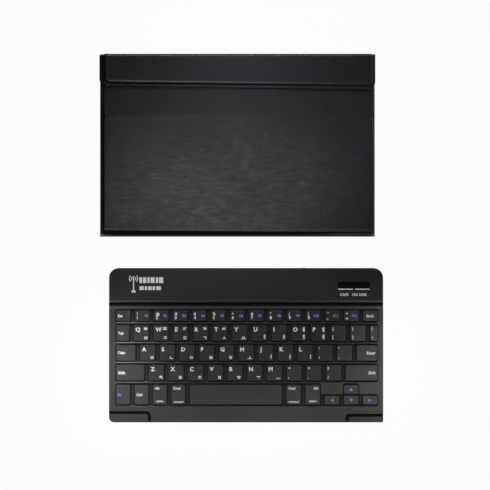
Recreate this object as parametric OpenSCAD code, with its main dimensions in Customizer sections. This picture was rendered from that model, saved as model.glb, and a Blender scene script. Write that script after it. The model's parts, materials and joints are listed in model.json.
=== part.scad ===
// Folio case for a ten inch tablet, with its slim wireless keyboard laid beside it.
// The case lies shut, spine towards the keyboard. +Y points from the keyboard to the case.
// The origin is on the table, under the middle of the pair.

/* [Case] */
// Width of the back cover and of the closing flap
case_w = 274.6; // [262:0.1:300]
// Distance from each side of the back cover to the front cover
front_in = 1.45; // [0.5:0.05:4]
// Depth of the shut case, over the spine and the flap strip
case_d = 182.3; // [178:0.1:220]
// Thickness of a leather panel with its board and lining
panel_t = 2.2; // [1.8:0.1:3]
// Thickness of the outer leather
leather_t = 0.7; // [0.4:0.05:0.9]
// Thickness of the lining cloth
lining_t = 0.5; // [0.3:0.05:0.6]
// Width of leather turned in round the edge of a board
turn_in = 5; // [2:0.5:9]
// Radius of the corners beside the spine
cover_corner_r = 4; // [1:0.5:8]
// Gap between two leather panels that move on each other
panel_gap = 0.3; // [0.2:0.05:0.6]
// Gap between the end of the front cover and the flap strip
end_gap = 0.5; // [0.4:0.1:2]
// Distance from the back of the spine to the crease in the front cover
crease_y = 120.6; // [90:0.1:140]
// Depth of the crease pressed into the front cover
crease_depth = 0.8; // [0.3:0.1:1]
// Width of each sloping side of the crease
crease_side = 4; // [3:0.5:8]

/* [Flap] */
// Depth of the flap at its left end
flap_left_d = 32.3; // [20:0.1:45]
// Depth of the flap at its right end
flap_right_d = 36.2; // [20:0.1:45]
// Radius of the flap's two free corners
flap_corner_r = 8; // [2:0.5:12]
// Distance from the flap's edge to its board
flap_margin = 6; // [4:0.5:9]
// Diameter of a closing magnet
magnet_d = 10; // [6:0.5:12]
// Distance of the closing magnets from the middle of the case
magnet_x = 84; // [40:1:110]

/* [Tablet holder] */
// Distance from each side of the front cover to the holder
holder_side = 3.7; // [2:0.1:12]
// Distance from the spine and from the closing edge to the holder
holder_end = 4.05; // [3:0.05:12]
// Thickness of the tablet that the holder takes
tablet_t = 8.6; // [6.5:0.1:10]
// Clearance round the tablet
tablet_gap = 0.25; // [0.1:0.05:0.5]
// Thickness of the holder's walls
shell_wall = 1.4; // [1:0.1:2]
// Thickness of the holder's back
shell_back = 1.1; // [0.8:0.1:1.6]
// Thickness of the lips that snap over the tablet
lip_t = 0.8; // [0.6:0.1:1.2]
// Reach of the lips over the tablet
lip_reach = 1.2; // [0.6:0.1:2]
// Length of each corner lip along its side
lip_len = 30; // [15:1:50]
// Outer corner radius of the holder
shell_r = 9; // [5:0.5:14]
// Width of the opening for the camera
camera_w = 24; // [12:1:36]
// Height of the opening for the camera
camera_d = 12; // [8:1:18]
// Distance from the holder's end wall to the camera opening
camera_in = 8; // [4:0.5:16]
// Thickness of the adhesive pad under the holder
bond_t = 0.3; // [0.25:0.05:0.6]

/* [Keyboard place in the case] */
// Height of the space that the keyboard fills in the shut case
bay_h = 7.4; // [7.2:0.1:12]
// Thickness of the wall of a corner clip
clip_wall = 2; // [1.2:0.1:2.4]
// Width of a corner clip
clip_w = 33; // [20:1:35]
// Reach of a clip over the keyboard's corner
clip_reach = 6.5; // [3:0.5:7]
// Thickness of the hooked lip of a clip
clip_lip = 1.2; // [0.8:0.1:1.4]
// Thickness of a clip's foot on the lining
clip_foot = 0.6; // [0.4:0.1:0.8]

/* [Keyboard] */
// Width of the keyboard
kb_w = 274; // [262:0.1:290]
// Depth of the keyboard
kb_d = 154.2; // [150:0.1:170]
// Height of the raised rear bar above the table
bar_top = 6.8; // [6.4:0.1:7.2]
// Depth of the raised rear bar
bar_d = 34.6; // [30:0.1:37]
// Width of the groove in front of the bar
groove_w = 3.3; // [2:0.1:4.5]
// Height of the deck between the keys
deck_top = 5; // [4.8:0.1:5.4]
// Depth of the groove below the deck
groove_depth = 1.2; // [0.5:0.1:1.6]
// Thickness of the deck and of the bar's top
deck_t = 1; // [0.8:0.1:1.3]
// Thickness of the keyboard's side walls
side_t = 1.6; // [1:0.1:2.4]
// Radius of the two rear corners
kb_rear_r = 10; // [4:0.5:14]
// Radius of the front left corner
kb_front_left_r = 5; // [1:0.5:7]
// Radius of the front right corner
kb_front_right_r = 1.5; // [1:0.5:7]
// Bevel along the keyboard's upper edges
kb_bevel = 0.8; // [0.3:0.1:1]
// Height of the joint between deck and bottom cover
parting_z = 2.4; // [2.3:0.1:2.8]
// Thickness of the bottom cover
bottom_t = 0.9; // [0.8:0.1:1]
// Height of the rubber feet
foot_h = 0.6; // [0.4:0.1:0.6]
// Depth of the lowered corner lands below the deck
land_drop = 1.2; // [0.6:0.1:1.4]
// Width of the left land along the front edge
land_left_w = 42; // [30:1:50]
// Width of the right land
land_right_w = 37.4; // [30:1:50]
// Depth of the left land from the front edge
land_left_d = 11.2; // [8:0.1:12]
// Depth of the right land from the front edge
land_right_d = 8.6; // [7:0.1:12]
// Radius at the inner end of the left land
land_left_r = 5; // [1:0.5:6]
// Radius at the inner end of the right land
land_right_r = 2; // [1:0.5:6]
// Width of the groove along the wall of a land
land_groove_w = 3.2; // [1.5:0.1:3.5]
// Depth of that groove below the land
land_groove_depth = 0.6; // [0.3:0.1:0.8]

/* [Keys] */
// Distance from the left edge of the keyboard to the first keys
key_left_x = 6.6; // [5:0.1:9]
// Distance from the right edge of the keyboard to the last keys
key_right_x = 5.2; // [4:0.1:9]
// Gap between neighbouring keycaps
key_gap = 3.4; // [2.5:0.1:4.5]
// Width of the last key of the upper letter row
end_key_w = 8.6; // [8:0.1:14]
// Left side of the first key of the upper letter row
upper_x = 24.4; // [22:0.1:27]
// Left side of the first key of the home row
home_x = 30.6; // [28:0.1:33]
// Left side of the first key of the lower letter row
lower_x = 39.3; // [36:0.1:42]
// Depth of the keycaps in the number row
number_row_d = 11.4; // [9:0.1:12]
// Depth of the keycaps in the letter rows
letter_row_d = 16.4; // [14:0.1:16.6]
// Depth of the keycaps in the space bar's row
space_row_d = 20.6; // [18:0.1:21]
// Distance from the rear edge of the keyboard to the number row
number_row_y = 42.1; // [41:0.1:43]
// Width of each key left of the space bar
modifier_w = 15; // [12:0.1:16]
// Width of each key right of the space bar
right_w = 15.72; // [12:0.02:17]
// Gap between the two halves of the arrow block
arrow_gap = 1.4; // [1:0.1:2]
// Height of a keycap
cap_h = 2.7; // [2.4:0.1:2.8]
// Height of the keycap's top above the deck
cap_proud = 1.2; // [0.8:0.1:1.3]
// Thickness of the top of a keycap
cap_t = 0.8; // [0.6:0.1:1]
// Width of the bevel round the top of a keycap
cap_bevel = 0.6; // [0.3:0.1:0.9]
// Corner radius of a keycap
cap_r = 1.4; // [0.8:0.1:2]
// Clearance between a keycap and the slot that it stands in
cap_gap = 0.35; // [0.2:0.05:0.6]
// Width of the slopes along the slots
slope_w = 1; // [0.5:0.05:1.1]
// Height of the slopes along the slots
slope_h = 0.35; // [0.2:0.05:0.6]
// Travel of a key
key_travel = 1.2; // [0.8:0.1:1.2]
// Length of the raised bar on the two homing keys
homing_w = 3.6; // [2:0.1:6]
// Height of the raised bar on the two homing keys
homing_h = 0.2; // [0.1:0.05:0.3]

/* [Inside the keyboard] */
// Thickness of the steel key plate
plate_t = 0.4; // [0.3:0.05:0.5]
// Thickness of the switch membrane
membrane_t = 0.3; // [0.2:0.05:0.35]
// Diameter of a rubber dome at its foot
dome_d = 6; // [4:0.1:7]
// Outer size of a scissor frame
scissor_w = 9.4; // [8.4:0.1:10]
// Thickness of a scissor frame
scissor_t = 0.6; // [0.4:0.1:0.7]
// Length of the battery cell
battery_w = 70; // [40:1:90]
// Depth of the battery cell
battery_d = 26; // [18:1:28]
// Thickness of the battery cell
battery_t = 3; // [2:0.1:3.4]
// Length of the circuit board
board_w = 92; // [70:1:110]
// Depth of the circuit board
board_d = 27; // [22:1:28]
// Thickness of the circuit board
board_t = 1; // [0.8:0.1:1.2]
// Width of the indicator window
window_w = 32.4; // [20:0.1:40]
// Depth of the indicator window
window_d = 6.6; // [4:0.1:8]
// Distance from the right edge to the middle of the window
window_x = 29.3; // [24:0.1:40]
// Distance from the rear edge to the middle of the window
window_y = 16.8; // [12:0.1:22]
// Thickness of the indicator window
window_t = 0.8; // [0.5:0.1:0.8]
// Diameter of an indicator lamp
led_d = 2; // [1.2:0.1:3]
// Length of a bar magnet in the keyboard or under it
kb_magnet_w = 20; // [10:1:30]
// Width of a bar magnet
kb_magnet_d = 3; // [2:0.1:3.2]
// Thickness of the keyboard's magnets
kb_magnet_t = 1.2; // [0.8:0.1:1.5]
// Distance of the bar magnets from the middle of the keyboard
kb_magnet_x = 84; // [40:1:110]
// Diameter of a rubber foot
foot_d = 9; // [6:0.5:12]
// Diameter of a case screw's head
screw_d = 2.8; // [2:0.1:3.4]

/* [Port, switch and button on the rear edge] */
// Distance from the right edge to the middle of the charging socket
usb_x = 42; // [36:1:48]
// Width of the charging socket's opening
usb_w = 7; // [6.8:0.1:8.4]
// Height of the charging socket's opening
usb_h = 1.9; // [1.8:0.1:2.6]
// Depth of the charging socket
usb_d = 5.6; // [4.6:0.1:7]
// Sheet thickness of the socket's shell
usb_t = 0.3; // [0.2:0.05:0.4]
// Distance from the right edge to the middle of the power switch
switch_x = 61; // [56:1:66]
// Travel of the power switch
switch_travel = 2.5; // [1.5:0.1:3]
// Width of the power switch's knob
knob_w = 3.6; // [2.5:0.1:5]
// Height of the power switch's knob
knob_h = 1.6; // [1:0.1:1.8]
// Distance from the right edge to the middle of the connect button
button_x = 79; // [74:1:84]
// Diameter of the connect button
button_d = 2.4; // [1.6:0.1:2.6]
// Travel of the connect button
button_travel = 0.4; // [0.3:0.05:0.5]

/* [Pair on the table] */
// Gap between the case and the keyboard
pair_gap = 31.1; // [20:0.1:60]
// Sideways step from the middle of the case to the middle of the keyboard
pair_step = 8.7; // [4:0.1:20]

/* [Hidden] */
$fn = 48;
// Segments in each quarter round of an outline
arc_steps = 5;
// Overlap that lets one cut run clear of another face
eps = 0.5;

// The pair, centred on the origin
case_x = -(pair_step + (kb_w - case_w) / 2) / 2;
kb_x = case_x + pair_step;
pair_d = case_d + pair_gap + kb_d;
case_y = pair_d / 2 - case_d;
kb_y = -pair_d / 2 + kb_d;

// Heights in the shut case, from the table up
fold_r = panel_t / 2;
board_core_t = panel_t - leather_t - lining_t;
shell_z = panel_t + bay_h;
tablet_z = shell_z + lip_t;
shell_back_z = tablet_z + tablet_t + tablet_gap;
bond_z = shell_back_z + shell_back;
front_z = bond_z + bond_t;
front_mid = front_z + fold_r;
flap_z = front_z + panel_t + panel_gap;
flap_mid = flap_z + fold_r;

// Depths in the shut case, from the back of the spine forward
back_fold_y = fold_r;
strip_fold_y = case_d - fold_r;
front_end_y = case_d - panel_t - end_gap;
panel_start = back_fold_y + fold_r + panel_gap;
crease_r = fold_r - crease_depth / 2;
crease_z = front_z + crease_r;

// The tablet holder
front_w = case_w - 2 * front_in;
shell_w = front_w - 2 * holder_side;
shell_d = front_end_y - panel_t - 2 * holder_end;
shell_mid_y = (panel_t + front_end_y) / 2;

// Heights in the keyboard, from the table up
floor_z = foot_h + bottom_t;
membrane_z = floor_z + plate_t;
dome_z = membrane_z + membrane_t;
cap_z = deck_top + cap_proud - cap_h;
cap_roof_z = cap_z + cap_h - cap_t;
groove_z = deck_top - groove_depth;
bar_roof_z = bar_top - deck_t;
rib_t = 1.2;
key_bay_y = bar_d + groove_w + rib_t;
kb_magnet_y = bar_d - rib_t - panel_gap - kb_magnet_d / 2;

// The keyboard in the case: its front edge rests against the clips
clip_y = front_end_y - clip_wall;
clip_under = panel_t + deck_top - land_drop + panel_gap;

// Rows of keys, each measured from the rear edge
row_step = letter_row_d + key_gap;
upper_row_y = number_row_y + number_row_d + key_gap;
home_row_y = upper_row_y + row_step;
lower_row_y = home_row_y + row_step;
space_row_y = lower_row_y + row_step;
keys_end_x = kb_w - key_right_x;
number_keys_n = 14;
number_pitch = (keys_end_x - key_left_x + key_gap) / number_keys_n;
number_w = number_pitch - key_gap;
upper_n = 12;
home_n = 11;
lower_n = 10;
key_pitch = (keys_end_x - end_key_w - upper_x) / upper_n;
letter_w = key_pitch - key_gap;
modifier_pitch = modifier_w + key_gap;
space_x = key_left_x + 4 * modifier_pitch;
right_n = 5;
right_pitch = right_w + key_gap;
right_x = keys_end_x + key_gap - right_n * right_pitch;
space_w = right_x - key_gap - space_x;
arrow_d = (space_row_d - arrow_gap) / 2;
arrow_low_y = space_row_y + arrow_d + arrow_gap;

// A keycap is [left side, rear side, width, depth] on the keyboard's face.
function key_run(x, y, n, pitch, w, d) = [for (i = [0:n - 1]) [x + i * pitch, y, w, d]];
function end_key(first_x, n, y) =
    let (x = first_x + n * key_pitch) [x, y, keys_end_x - x, letter_row_d];

K_ESCAPE = [[key_left_x, number_row_y, number_w, number_row_d]];
K_NUMBERS = key_run(key_left_x + number_pitch, number_row_y, number_keys_n - 2, number_pitch,
    number_w, number_row_d);
K_BACKSPACE = [[keys_end_x - number_w, number_row_y, number_w, number_row_d]];
K_TAB = [[key_left_x, upper_row_y, upper_x - key_gap - key_left_x, letter_row_d]];
K_UPPER = key_run(upper_x, upper_row_y, upper_n, key_pitch, letter_w, letter_row_d);
K_BACKSLASH = [end_key(upper_x, upper_n, upper_row_y)];
K_CAPS = [[key_left_x, home_row_y, home_x - key_gap - key_left_x, letter_row_d]];
K_HOME = key_run(home_x, home_row_y, home_n, key_pitch, letter_w, letter_row_d);
K_ENTER = [end_key(home_x, home_n, home_row_y)];
K_SHIFT_L = [[key_left_x, lower_row_y, lower_x - key_gap - key_left_x, letter_row_d]];
K_LOWER = key_run(lower_x, lower_row_y, lower_n, key_pitch, letter_w, letter_row_d);
K_SHIFT_R = [end_key(lower_x, lower_n, lower_row_y)];
K_MODIFIERS = key_run(key_left_x, space_row_y, 4, modifier_pitch, modifier_w, space_row_d);
K_SPACE = [[space_x, space_row_y, space_w, space_row_d]];
K_RIGHT = key_run(right_x, space_row_y, 2, right_pitch, right_w, space_row_d);
K_LEFT_ARROW = [[right_x + 2 * right_pitch, arrow_low_y, right_w, arrow_d]];
K_UP_ARROW = [[right_x + 3 * right_pitch, space_row_y, right_w, arrow_d]];
K_DOWN_ARROW = [[right_x + 3 * right_pitch, arrow_low_y, right_w, arrow_d]];
K_RIGHT_ARROW = [[right_x + 4 * right_pitch, arrow_low_y, right_w, arrow_d]];
ALL_KEYS = concat(K_ESCAPE, K_NUMBERS, K_BACKSPACE, K_TAB, K_UPPER, K_BACKSLASH, K_CAPS,
    K_HOME, K_ENTER, K_SHIFT_L, K_LOWER, K_SHIFT_R, K_MODIFIERS, K_SPACE, K_RIGHT,
    K_LEFT_ARROW, K_UP_ARROW, K_DOWN_ARROW, K_RIGHT_ARROW);

// Finishes
leather_colour = [0.16, 0.16, 0.17];
lining_colour = [0.22, 0.22, 0.23];
board_colour = [0.55, 0.5, 0.42];
abs_colour = [0.13, 0.13, 0.13];
cap_colour = [0.17, 0.17, 0.17];
steel_colour = [0.7, 0.71, 0.73];
film_colour = [0.1, 0.1, 0.1];
frame_colour = [0.14, 0.14, 0.14];

// ---------------------------------------------------------------- outlines

function quarter(cx, cy, r, from) = r <= 0 ? [[cx, cy]] :
    [for (i = [0:arc_steps])
        [cx + r * cos(from + 90 * i / arc_steps), cy + r * sin(from + 90 * i / arc_steps)]];

// A rectangle with its own radius at each corner, anticlockwise from the left front one
function round_outline(x0, y0, x1, y1, r) = concat(
    quarter(x0 + r[0], y0 + r[0], r[0], 180),
    quarter(x1 - r[1], y0 + r[1], r[1], 270),
    quarter(x1 - r[2], y1 - r[2], r[2], 0),
    quarter(x0 + r[3], y1 - r[3], r[3], 90));

module round_plate(x0, y0, x1, y1, r, h)
    linear_extrude(h) polygon(round_outline(x0, y0, x1, y1, r));

module even_plate(x0, y0, x1, y1, r, h) round_plate(x0, y0, x1, y1, [r, r, r, r], h);

// Turns a profile drawn in depth and height into a bar along X, centred on x = 0
module along_x(length)
    rotate([90, 0, 90]) linear_extrude(length, center = true) children();

module bead(length, y, z, r)
    translate([0, y, z]) rotate([0, 90, 0]) cylinder(r = r, h = length, center = true);

// ---------------------------------------------------------------- case

module in_case() translate([case_x, case_y, 0]) children();

back_board_w = case_w - 2 * turn_in;
front_board_w = front_w - 2 * turn_in;

module back_pocket(h) translate([-back_board_w / 2, panel_start + turn_in, 0])
    cube([back_board_w, strip_fold_y - fold_r - panel_gap - panel_start - 2 * turn_in, h]);

module back_leather() color(leather_colour) in_case() {
    difference() {
        union() {
            translate([-case_w / 2, back_fold_y, 0])
                cube([case_w, strip_fold_y - back_fold_y, panel_t]);
            bead(case_w, back_fold_y, fold_r, fold_r);
            bead(case_w, strip_fold_y, fold_r, fold_r);
        }
        translate([0, 0, leather_t]) back_pocket(panel_t);
    }
}

module back_board() color(board_colour) in_case() difference() {
    translate([0, 0, leather_t]) back_pocket(board_core_t);
    back_magnet_places();
}

module back_lining() color(lining_colour) in_case()
    translate([0, 0, leather_t + board_core_t]) back_pocket(lining_t);

// The keyboard is held by magnets under the front of its bar
kb_in_case_y = clip_y - panel_gap - kb_d;
back_magnet_y = kb_in_case_y + kb_magnet_y;

module back_magnet_places()
    for (side = [-1, 1])
        translate([side * kb_magnet_x - kb_magnet_w / 2, back_magnet_y - kb_magnet_d / 2,
            leather_t])
            cube([kb_magnet_w, kb_magnet_d, board_core_t]);

module back_magnets() color(steel_colour) in_case() back_magnet_places();

clip_in = 1;
clip_edge_x = case_w / 2 - clip_in;
module corner_clips() color(abs_colour) in_case()
    for (side = [-1, 1])
        translate([side * (clip_edge_x - clip_w / 2), 0, 0]) along_x(clip_w) polygon([
            [clip_y - clip_reach, panel_t],
            [front_end_y, panel_t],
            [front_end_y, clip_under + clip_lip / 2],
            [front_end_y - clip_lip / 2, clip_under + clip_lip],
            [clip_y - clip_reach + clip_lip / 2, clip_under + clip_lip],
            [clip_y - clip_reach, clip_under + clip_lip / 2],
            [clip_y - clip_reach, clip_under],
            [clip_y, clip_under],
            [clip_y, panel_t + clip_foot],
            [clip_y - clip_reach, panel_t + clip_foot]
        ]);

// The spine stands between its two folds
spine_low = fold_r + fold_r + panel_gap;
spine_board_low = spine_low + turn_in / 2;
spine_board_high = front_mid - fold_r - turn_in / 2;

module spine_leather() color(leather_colour) in_case() {
    difference() {
        union() {
            translate([-case_w / 2, 0, spine_low]) cube([case_w, panel_t, front_mid - spine_low]);
            bead(case_w, back_fold_y, front_mid, fold_r);
        }
        translate([-back_board_w / 2, leather_t, spine_board_low])
            cube([back_board_w, panel_t, spine_board_high - spine_board_low]);
    }
}

module spine_board() color(board_colour) in_case()
    translate([-back_board_w / 2, leather_t, spine_board_low])
        cube([back_board_w, board_core_t, spine_board_high - spine_board_low]);

module spine_lining() color(lining_colour) in_case()
    translate([-back_board_w / 2, leather_t + board_core_t, spine_board_low])
        cube([back_board_w, lining_t, spine_board_high - spine_board_low]);

// Side profile of a front panel: flat, with its outer face sloping down into the crease
crease_low = front_z + 2 * crease_r - panel_gap;
module lower_profile() polygon([
    [panel_start, front_z],
    [crease_y, front_z],
    [crease_y, crease_low],
    [crease_y - crease_r, crease_low],
    [crease_y - crease_side, front_z + panel_t],
    [panel_start + fold_r / 2, front_z + panel_t],
    [panel_start, front_z + panel_t - fold_r / 2]
]);

module upper_profile() polygon([
    [crease_y + crease_r + panel_gap, front_z],
    [front_end_y, front_z],
    [front_end_y, front_z + panel_t - fold_r / 2],
    [front_end_y - fold_r / 2, front_z + panel_t],
    [crease_y + crease_side, front_z + panel_t],
    [crease_y + crease_r + panel_gap, crease_low]
]);

lower_board_y = panel_start + turn_in;
lower_board_d = crease_y - crease_side - lower_board_y;
upper_board_y = crease_y + crease_side;
upper_board_d = front_end_y - turn_in - upper_board_y;

module front_pocket(y, d, z, h)
    translate([-front_board_w / 2, y, z]) cube([front_board_w, d, h]);

module lower_leather() color(leather_colour) in_case() {
    difference() {
        intersection() {
            along_x(front_w) lower_profile();
            translate([0, 0, front_z])
                round_plate(-front_w / 2, panel_start, front_w / 2, crease_y,
                    [cover_corner_r, cover_corner_r, 0, 0], panel_t);
        }
        front_pocket(lower_board_y, lower_board_d, front_z, lining_t + board_core_t);
    }
    bead(front_w, crease_y, crease_z, crease_r);
}

module lower_board() color(board_colour) in_case()
    front_pocket(lower_board_y, lower_board_d, front_z + lining_t, board_core_t);

// The lining, with the adhesive pad that carries the tablet holder
module lower_lining() color(lining_colour) in_case() {
    front_pocket(lower_board_y, lower_board_d, front_z, lining_t);
    translate([-shell_w / 2 + shell_r, lower_board_y, bond_z])
        cube([shell_w - 2 * shell_r, lower_board_d, bond_t]);
}

module shell_outline(inset, h)
    even_plate(-shell_w / 2 + inset, shell_mid_y - shell_d / 2 + inset,
        shell_w / 2 - inset, shell_mid_y + shell_d / 2 - inset, shell_r - inset, h);

// Cuts for the buttons and sockets on the tablet's edges
side_cut_d = 60;
end_cut_w = 90;
module shell_edge_cuts() {
    translate([-shell_w, shell_mid_y - side_cut_d / 2, tablet_z])
        cube([2 * shell_w, side_cut_d, tablet_t - shell_back]);
    translate([-end_cut_w / 2, shell_mid_y, tablet_z])
        cube([end_cut_w, shell_d, tablet_t - shell_back]);
}

module tablet_shell() color(abs_colour) in_case() difference() {
    translate([0, 0, shell_z]) shell_outline(0, bond_z - shell_z);
    translate([0, 0, tablet_z]) shell_outline(shell_wall, shell_back_z - tablet_z);
    translate([0, 0, shell_z - eps]) shell_outline(shell_wall + lip_reach, lip_t + 2 * eps);
    // Only the corners keep their lips
    translate([-shell_w / 2 + shell_wall, shell_mid_y - shell_d / 2 + lip_len, shell_z - eps])
        cube([shell_w - 2 * shell_wall, shell_d - 2 * lip_len, lip_t + 2 * eps]);
    translate([-shell_w / 2 + lip_len, shell_mid_y - shell_d / 2 + shell_wall, shell_z - eps])
        cube([shell_w - 2 * lip_len, shell_d - 2 * shell_wall, lip_t + 2 * eps]);
    translate([-camera_w / 2, shell_mid_y + shell_d / 2 - camera_in - camera_d, shell_back_z - eps])
        even_plate(0, 0, camera_w, camera_d, camera_d / 3, shell_back + 2 * eps);
    shell_edge_cuts();
}

module upper_leather() color(leather_colour) in_case() {
    difference() {
        along_x(front_w) upper_profile();
        front_pocket(upper_board_y, upper_board_d, front_z, lining_t + board_core_t);
    }
    // Its lining, sewn in
    front_pocket(upper_board_y, upper_board_d, front_z, lining_t);
}

// Steel strip in the front cover that the flap's magnets hold on to
catch_w = 40;
catch_d = 12;
catch_y = case_d - (flap_left_d + flap_right_d) / 4;
module catch_places()
    for (side = [-1, 1])
        translate([side * magnet_x - catch_w / 2, catch_y - catch_d / 2,
            front_z + lining_t + board_core_t / 2])
            cube([catch_w, catch_d, board_core_t / 2]);

module upper_board() color(board_colour) in_case() difference() {
    front_pocket(upper_board_y, upper_board_d, front_z + lining_t, board_core_t);
    catch_places();
}

module catch_plate() color(steel_colour) in_case() catch_places();

// The strip stands at the closing edge, between its own two folds
strip_y = case_d - panel_t;
strip_board_high = flap_mid - fold_r - turn_in / 2;
module strip_leather() color(leather_colour) in_case() {
    difference() {
        union() {
            translate([-case_w / 2, strip_y, spine_low])
                cube([case_w, panel_t, flap_mid - spine_low]);
            bead(case_w, strip_fold_y, flap_mid, fold_r);
        }
        translate([-back_board_w / 2, strip_y + lining_t, spine_board_low])
            cube([back_board_w, board_core_t, strip_board_high - spine_board_low]);
    }
}

module strip_board() color(board_colour) in_case()
    translate([-back_board_w / 2, strip_y + lining_t, spine_board_low])
        cube([back_board_w, board_core_t, strip_board_high - spine_board_low]);

// The flap's free edge runs at a slant, deeper on the right
flap_start = strip_fold_y - fold_r - panel_gap;
flap_slant = atan2(flap_right_d - flap_left_d, case_w);
function flap_edge(x) = case_d - (flap_left_d + flap_right_d) / 2
    - (flap_right_d - flap_left_d) * x / case_w;
function flap_outline(inset) = let (
    half = case_w / 2 - inset,
    r = flap_corner_r - inset / 2,
    top = flap_start - (inset > 0 ? inset / 2 : 0)
) concat(
    [for (i = [0:arc_steps]) let (a = 180 + (90 - flap_slant) * i / arc_steps)
        [-half + r + r * cos(a), flap_edge(-half + r) + inset + r + r * sin(a)]],
    [for (i = [0:arc_steps]) let (a = 270 - flap_slant + (90 + flap_slant) * i / arc_steps)
        [half - r + r * cos(a), flap_edge(half - r) + inset + r + r * sin(a)]],
    [[half, top], [-half, top]]);

module flap_leather() color(leather_colour) in_case() {
    difference() {
        translate([0, 0, flap_z]) linear_extrude(panel_t) polygon(flap_outline(0));
        translate([0, 0, flap_z]) linear_extrude(lining_t + board_core_t)
            polygon(flap_outline(flap_margin));
    }
    // Its lining, sewn in
    translate([0, 0, flap_z]) linear_extrude(lining_t) polygon(flap_outline(flap_margin));
}

module flap_magnet_places()
    for (side = [-1, 1])
        translate([side * magnet_x, catch_y, flap_z + lining_t])
            cylinder(d = magnet_d, h = board_core_t);

module flap_board() color(board_colour) in_case() difference() {
    translate([0, 0, flap_z + lining_t]) linear_extrude(board_core_t)
        polygon(flap_outline(flap_margin));
    flap_magnet_places();
}

module flap_magnets() color(steel_colour) in_case() flap_magnet_places();

// ---------------------------------------------------------------- keyboard

// On the keyboard's face, x runs from its left edge and y from its rear edge towards the user.
module on_keyboard() translate([kb_x - kb_w / 2, kb_y, 0]) mirror([0, 1, 0]) children();

module kb_outline(inset, h)
    round_plate(inset, inset, kb_w - inset, kb_d - inset,
        [kb_rear_r - inset, kb_rear_r - inset, max(kb_front_right_r - inset, 0),
            max(kb_front_left_r - inset, 0)], h);

// Side profile of the deck: raised bar, groove, and the flat round the keys
module deck_profile() polygon([
    [0, parting_z],
    [0, bar_top - kb_bevel],
    [kb_bevel, bar_top],
    [bar_d - kb_bevel, bar_top],
    [bar_d, bar_top - kb_bevel],
    [bar_d, groove_z],
    [bar_d + groove_w, groove_z],
    [bar_d + groove_w, deck_top],
    [kb_d - kb_bevel, deck_top],
    [kb_d, deck_top - kb_bevel],
    [kb_d, parting_z]
]);

// Front profile, with the bevel along both sides
module deck_front() polygon([
    [0, parting_z], [0, deck_top - kb_bevel], [kb_bevel, bar_top], [kb_w - kb_bevel, bar_top],
    [kb_w, deck_top - kb_bevel], [kb_w, parting_z]
]);

// One slot for a run of keys, from the first key's rear corner to the last one's front corner.
// The deck slopes down to the slot along its rear and its front.
module key_slot(first, last) {
    x0 = first[0] - cap_gap;
    y0 = first[1] - cap_gap;
    x1 = last[0] + last[2] + cap_gap;
    y1 = last[1] + last[3] + cap_gap;
    translate([0, 0, parting_z - eps]) even_plate(x0, y0, x1, y1, cap_r, bar_top);
    translate([(x0 + x1) / 2, 0, 0]) along_x(x1 - x0 - 2 * cap_r) polygon([
        [y0, deck_top - slope_h], [y0 - slope_w, deck_top], [y0 - slope_w, bar_top],
        [y1 + slope_w, bar_top], [y1 + slope_w, deck_top], [y1, deck_top - slope_h]
    ]);
}

// Each row of keys stands in one slot; beside the upper arrow the deck fills the corners
SLOTS = [
    [K_ESCAPE[0], K_BACKSPACE[0]],
    [K_TAB[0], K_BACKSLASH[0]],
    [K_CAPS[0], K_ENTER[0]],
    [K_SHIFT_L[0], K_SHIFT_R[0]],
    [K_MODIFIERS[0], K_RIGHT[1]],
    [K_UP_ARROW[0], K_DOWN_ARROW[0]],
    [[K_RIGHT[1][0], arrow_low_y], K_RIGHT_ARROW[0]]
];

// A lowered land at a front corner, its inner end rounded, with a groove along its wall
land_edge_r = 0.5;
module land(x0, x1, depth, r) {
    g = land_groove_w;
    translate([0, 0, deck_top - land_drop])
        round_plate(x0, kb_d - depth, x1, kb_d + r, r * [1, 1, 1, 1], bar_top);
    translate([0, 0, deck_top - land_drop - land_groove_depth]) difference() {
        round_plate(x0, kb_d - depth, x1, kb_d + r, r * [1, 1, 1, 1], bar_top);
        translate([0, 0, -eps])
            round_plate(x0 + g, kb_d - depth + g, x1 - g, kb_d + r + g,
                max(r - g, land_edge_r) * [1, 1, 1, 1], bar_top + 2 * eps);
    }
}

module window_place(gap, h)
    even_plate(kb_w - window_x - window_w / 2 - gap, window_y - window_d / 2 - gap,
        kb_w - window_x + window_w / 2 + gap, window_y + window_d / 2 + gap, window_d / 3, h);

led_xs = [kb_w - window_x - window_w / 4, kb_w - window_x + window_w / 4];
led_gap = 0.1;
window_gap = 0.05;
socket_w = usb_w + 2 * usb_t;
socket_h = usb_h + 2 * usb_t;

// The circuit board stands on posts, and the socket, switch and button stand on the board
board_rest = 0.4;
board_gap = 0.3;
board_edge = 10;
post_d = 3;
board_z = floor_z + board_rest;
socket_z = board_z + board_t;
button_z = socket_z + button_d / 2 + panel_gap;
button_proud = 0.2;
knob_in = 0.2;
switch_side = 1;
switch_body_w = knob_w + switch_travel + 2 * switch_side;
switch_body_d = 3;
switch_body_h = 2.6;

module rear_cuts() {
    translate([kb_w - usb_x - socket_w / 2, -eps, socket_z])
        cube([socket_w, side_t + 2 * eps, socket_h]);
    translate([kb_w - switch_x - (knob_w + switch_travel) / 2 - panel_gap, -eps, socket_z])
        cube([knob_w + switch_travel + 2 * panel_gap, side_t + 2 * eps, knob_h + 2 * panel_gap]);
    translate([kb_w - button_x, -eps, button_z]) rotate([-90, 0, 0])
        cylinder(d = button_d + 2 * panel_gap, h = side_t + 2 * eps);
}

// Three screws hold the bottom cover to bosses under the groove of the deck
boss_d = 4.4;
boss_gap = 0.1;
screw_core_d = 1.4;
screw_h = 2.6;
screw_places = [for (x = [kb_rear_r, kb_w / 2, kb_w - kb_rear_r]) [x, bar_d + groove_w / 2]];

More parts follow.
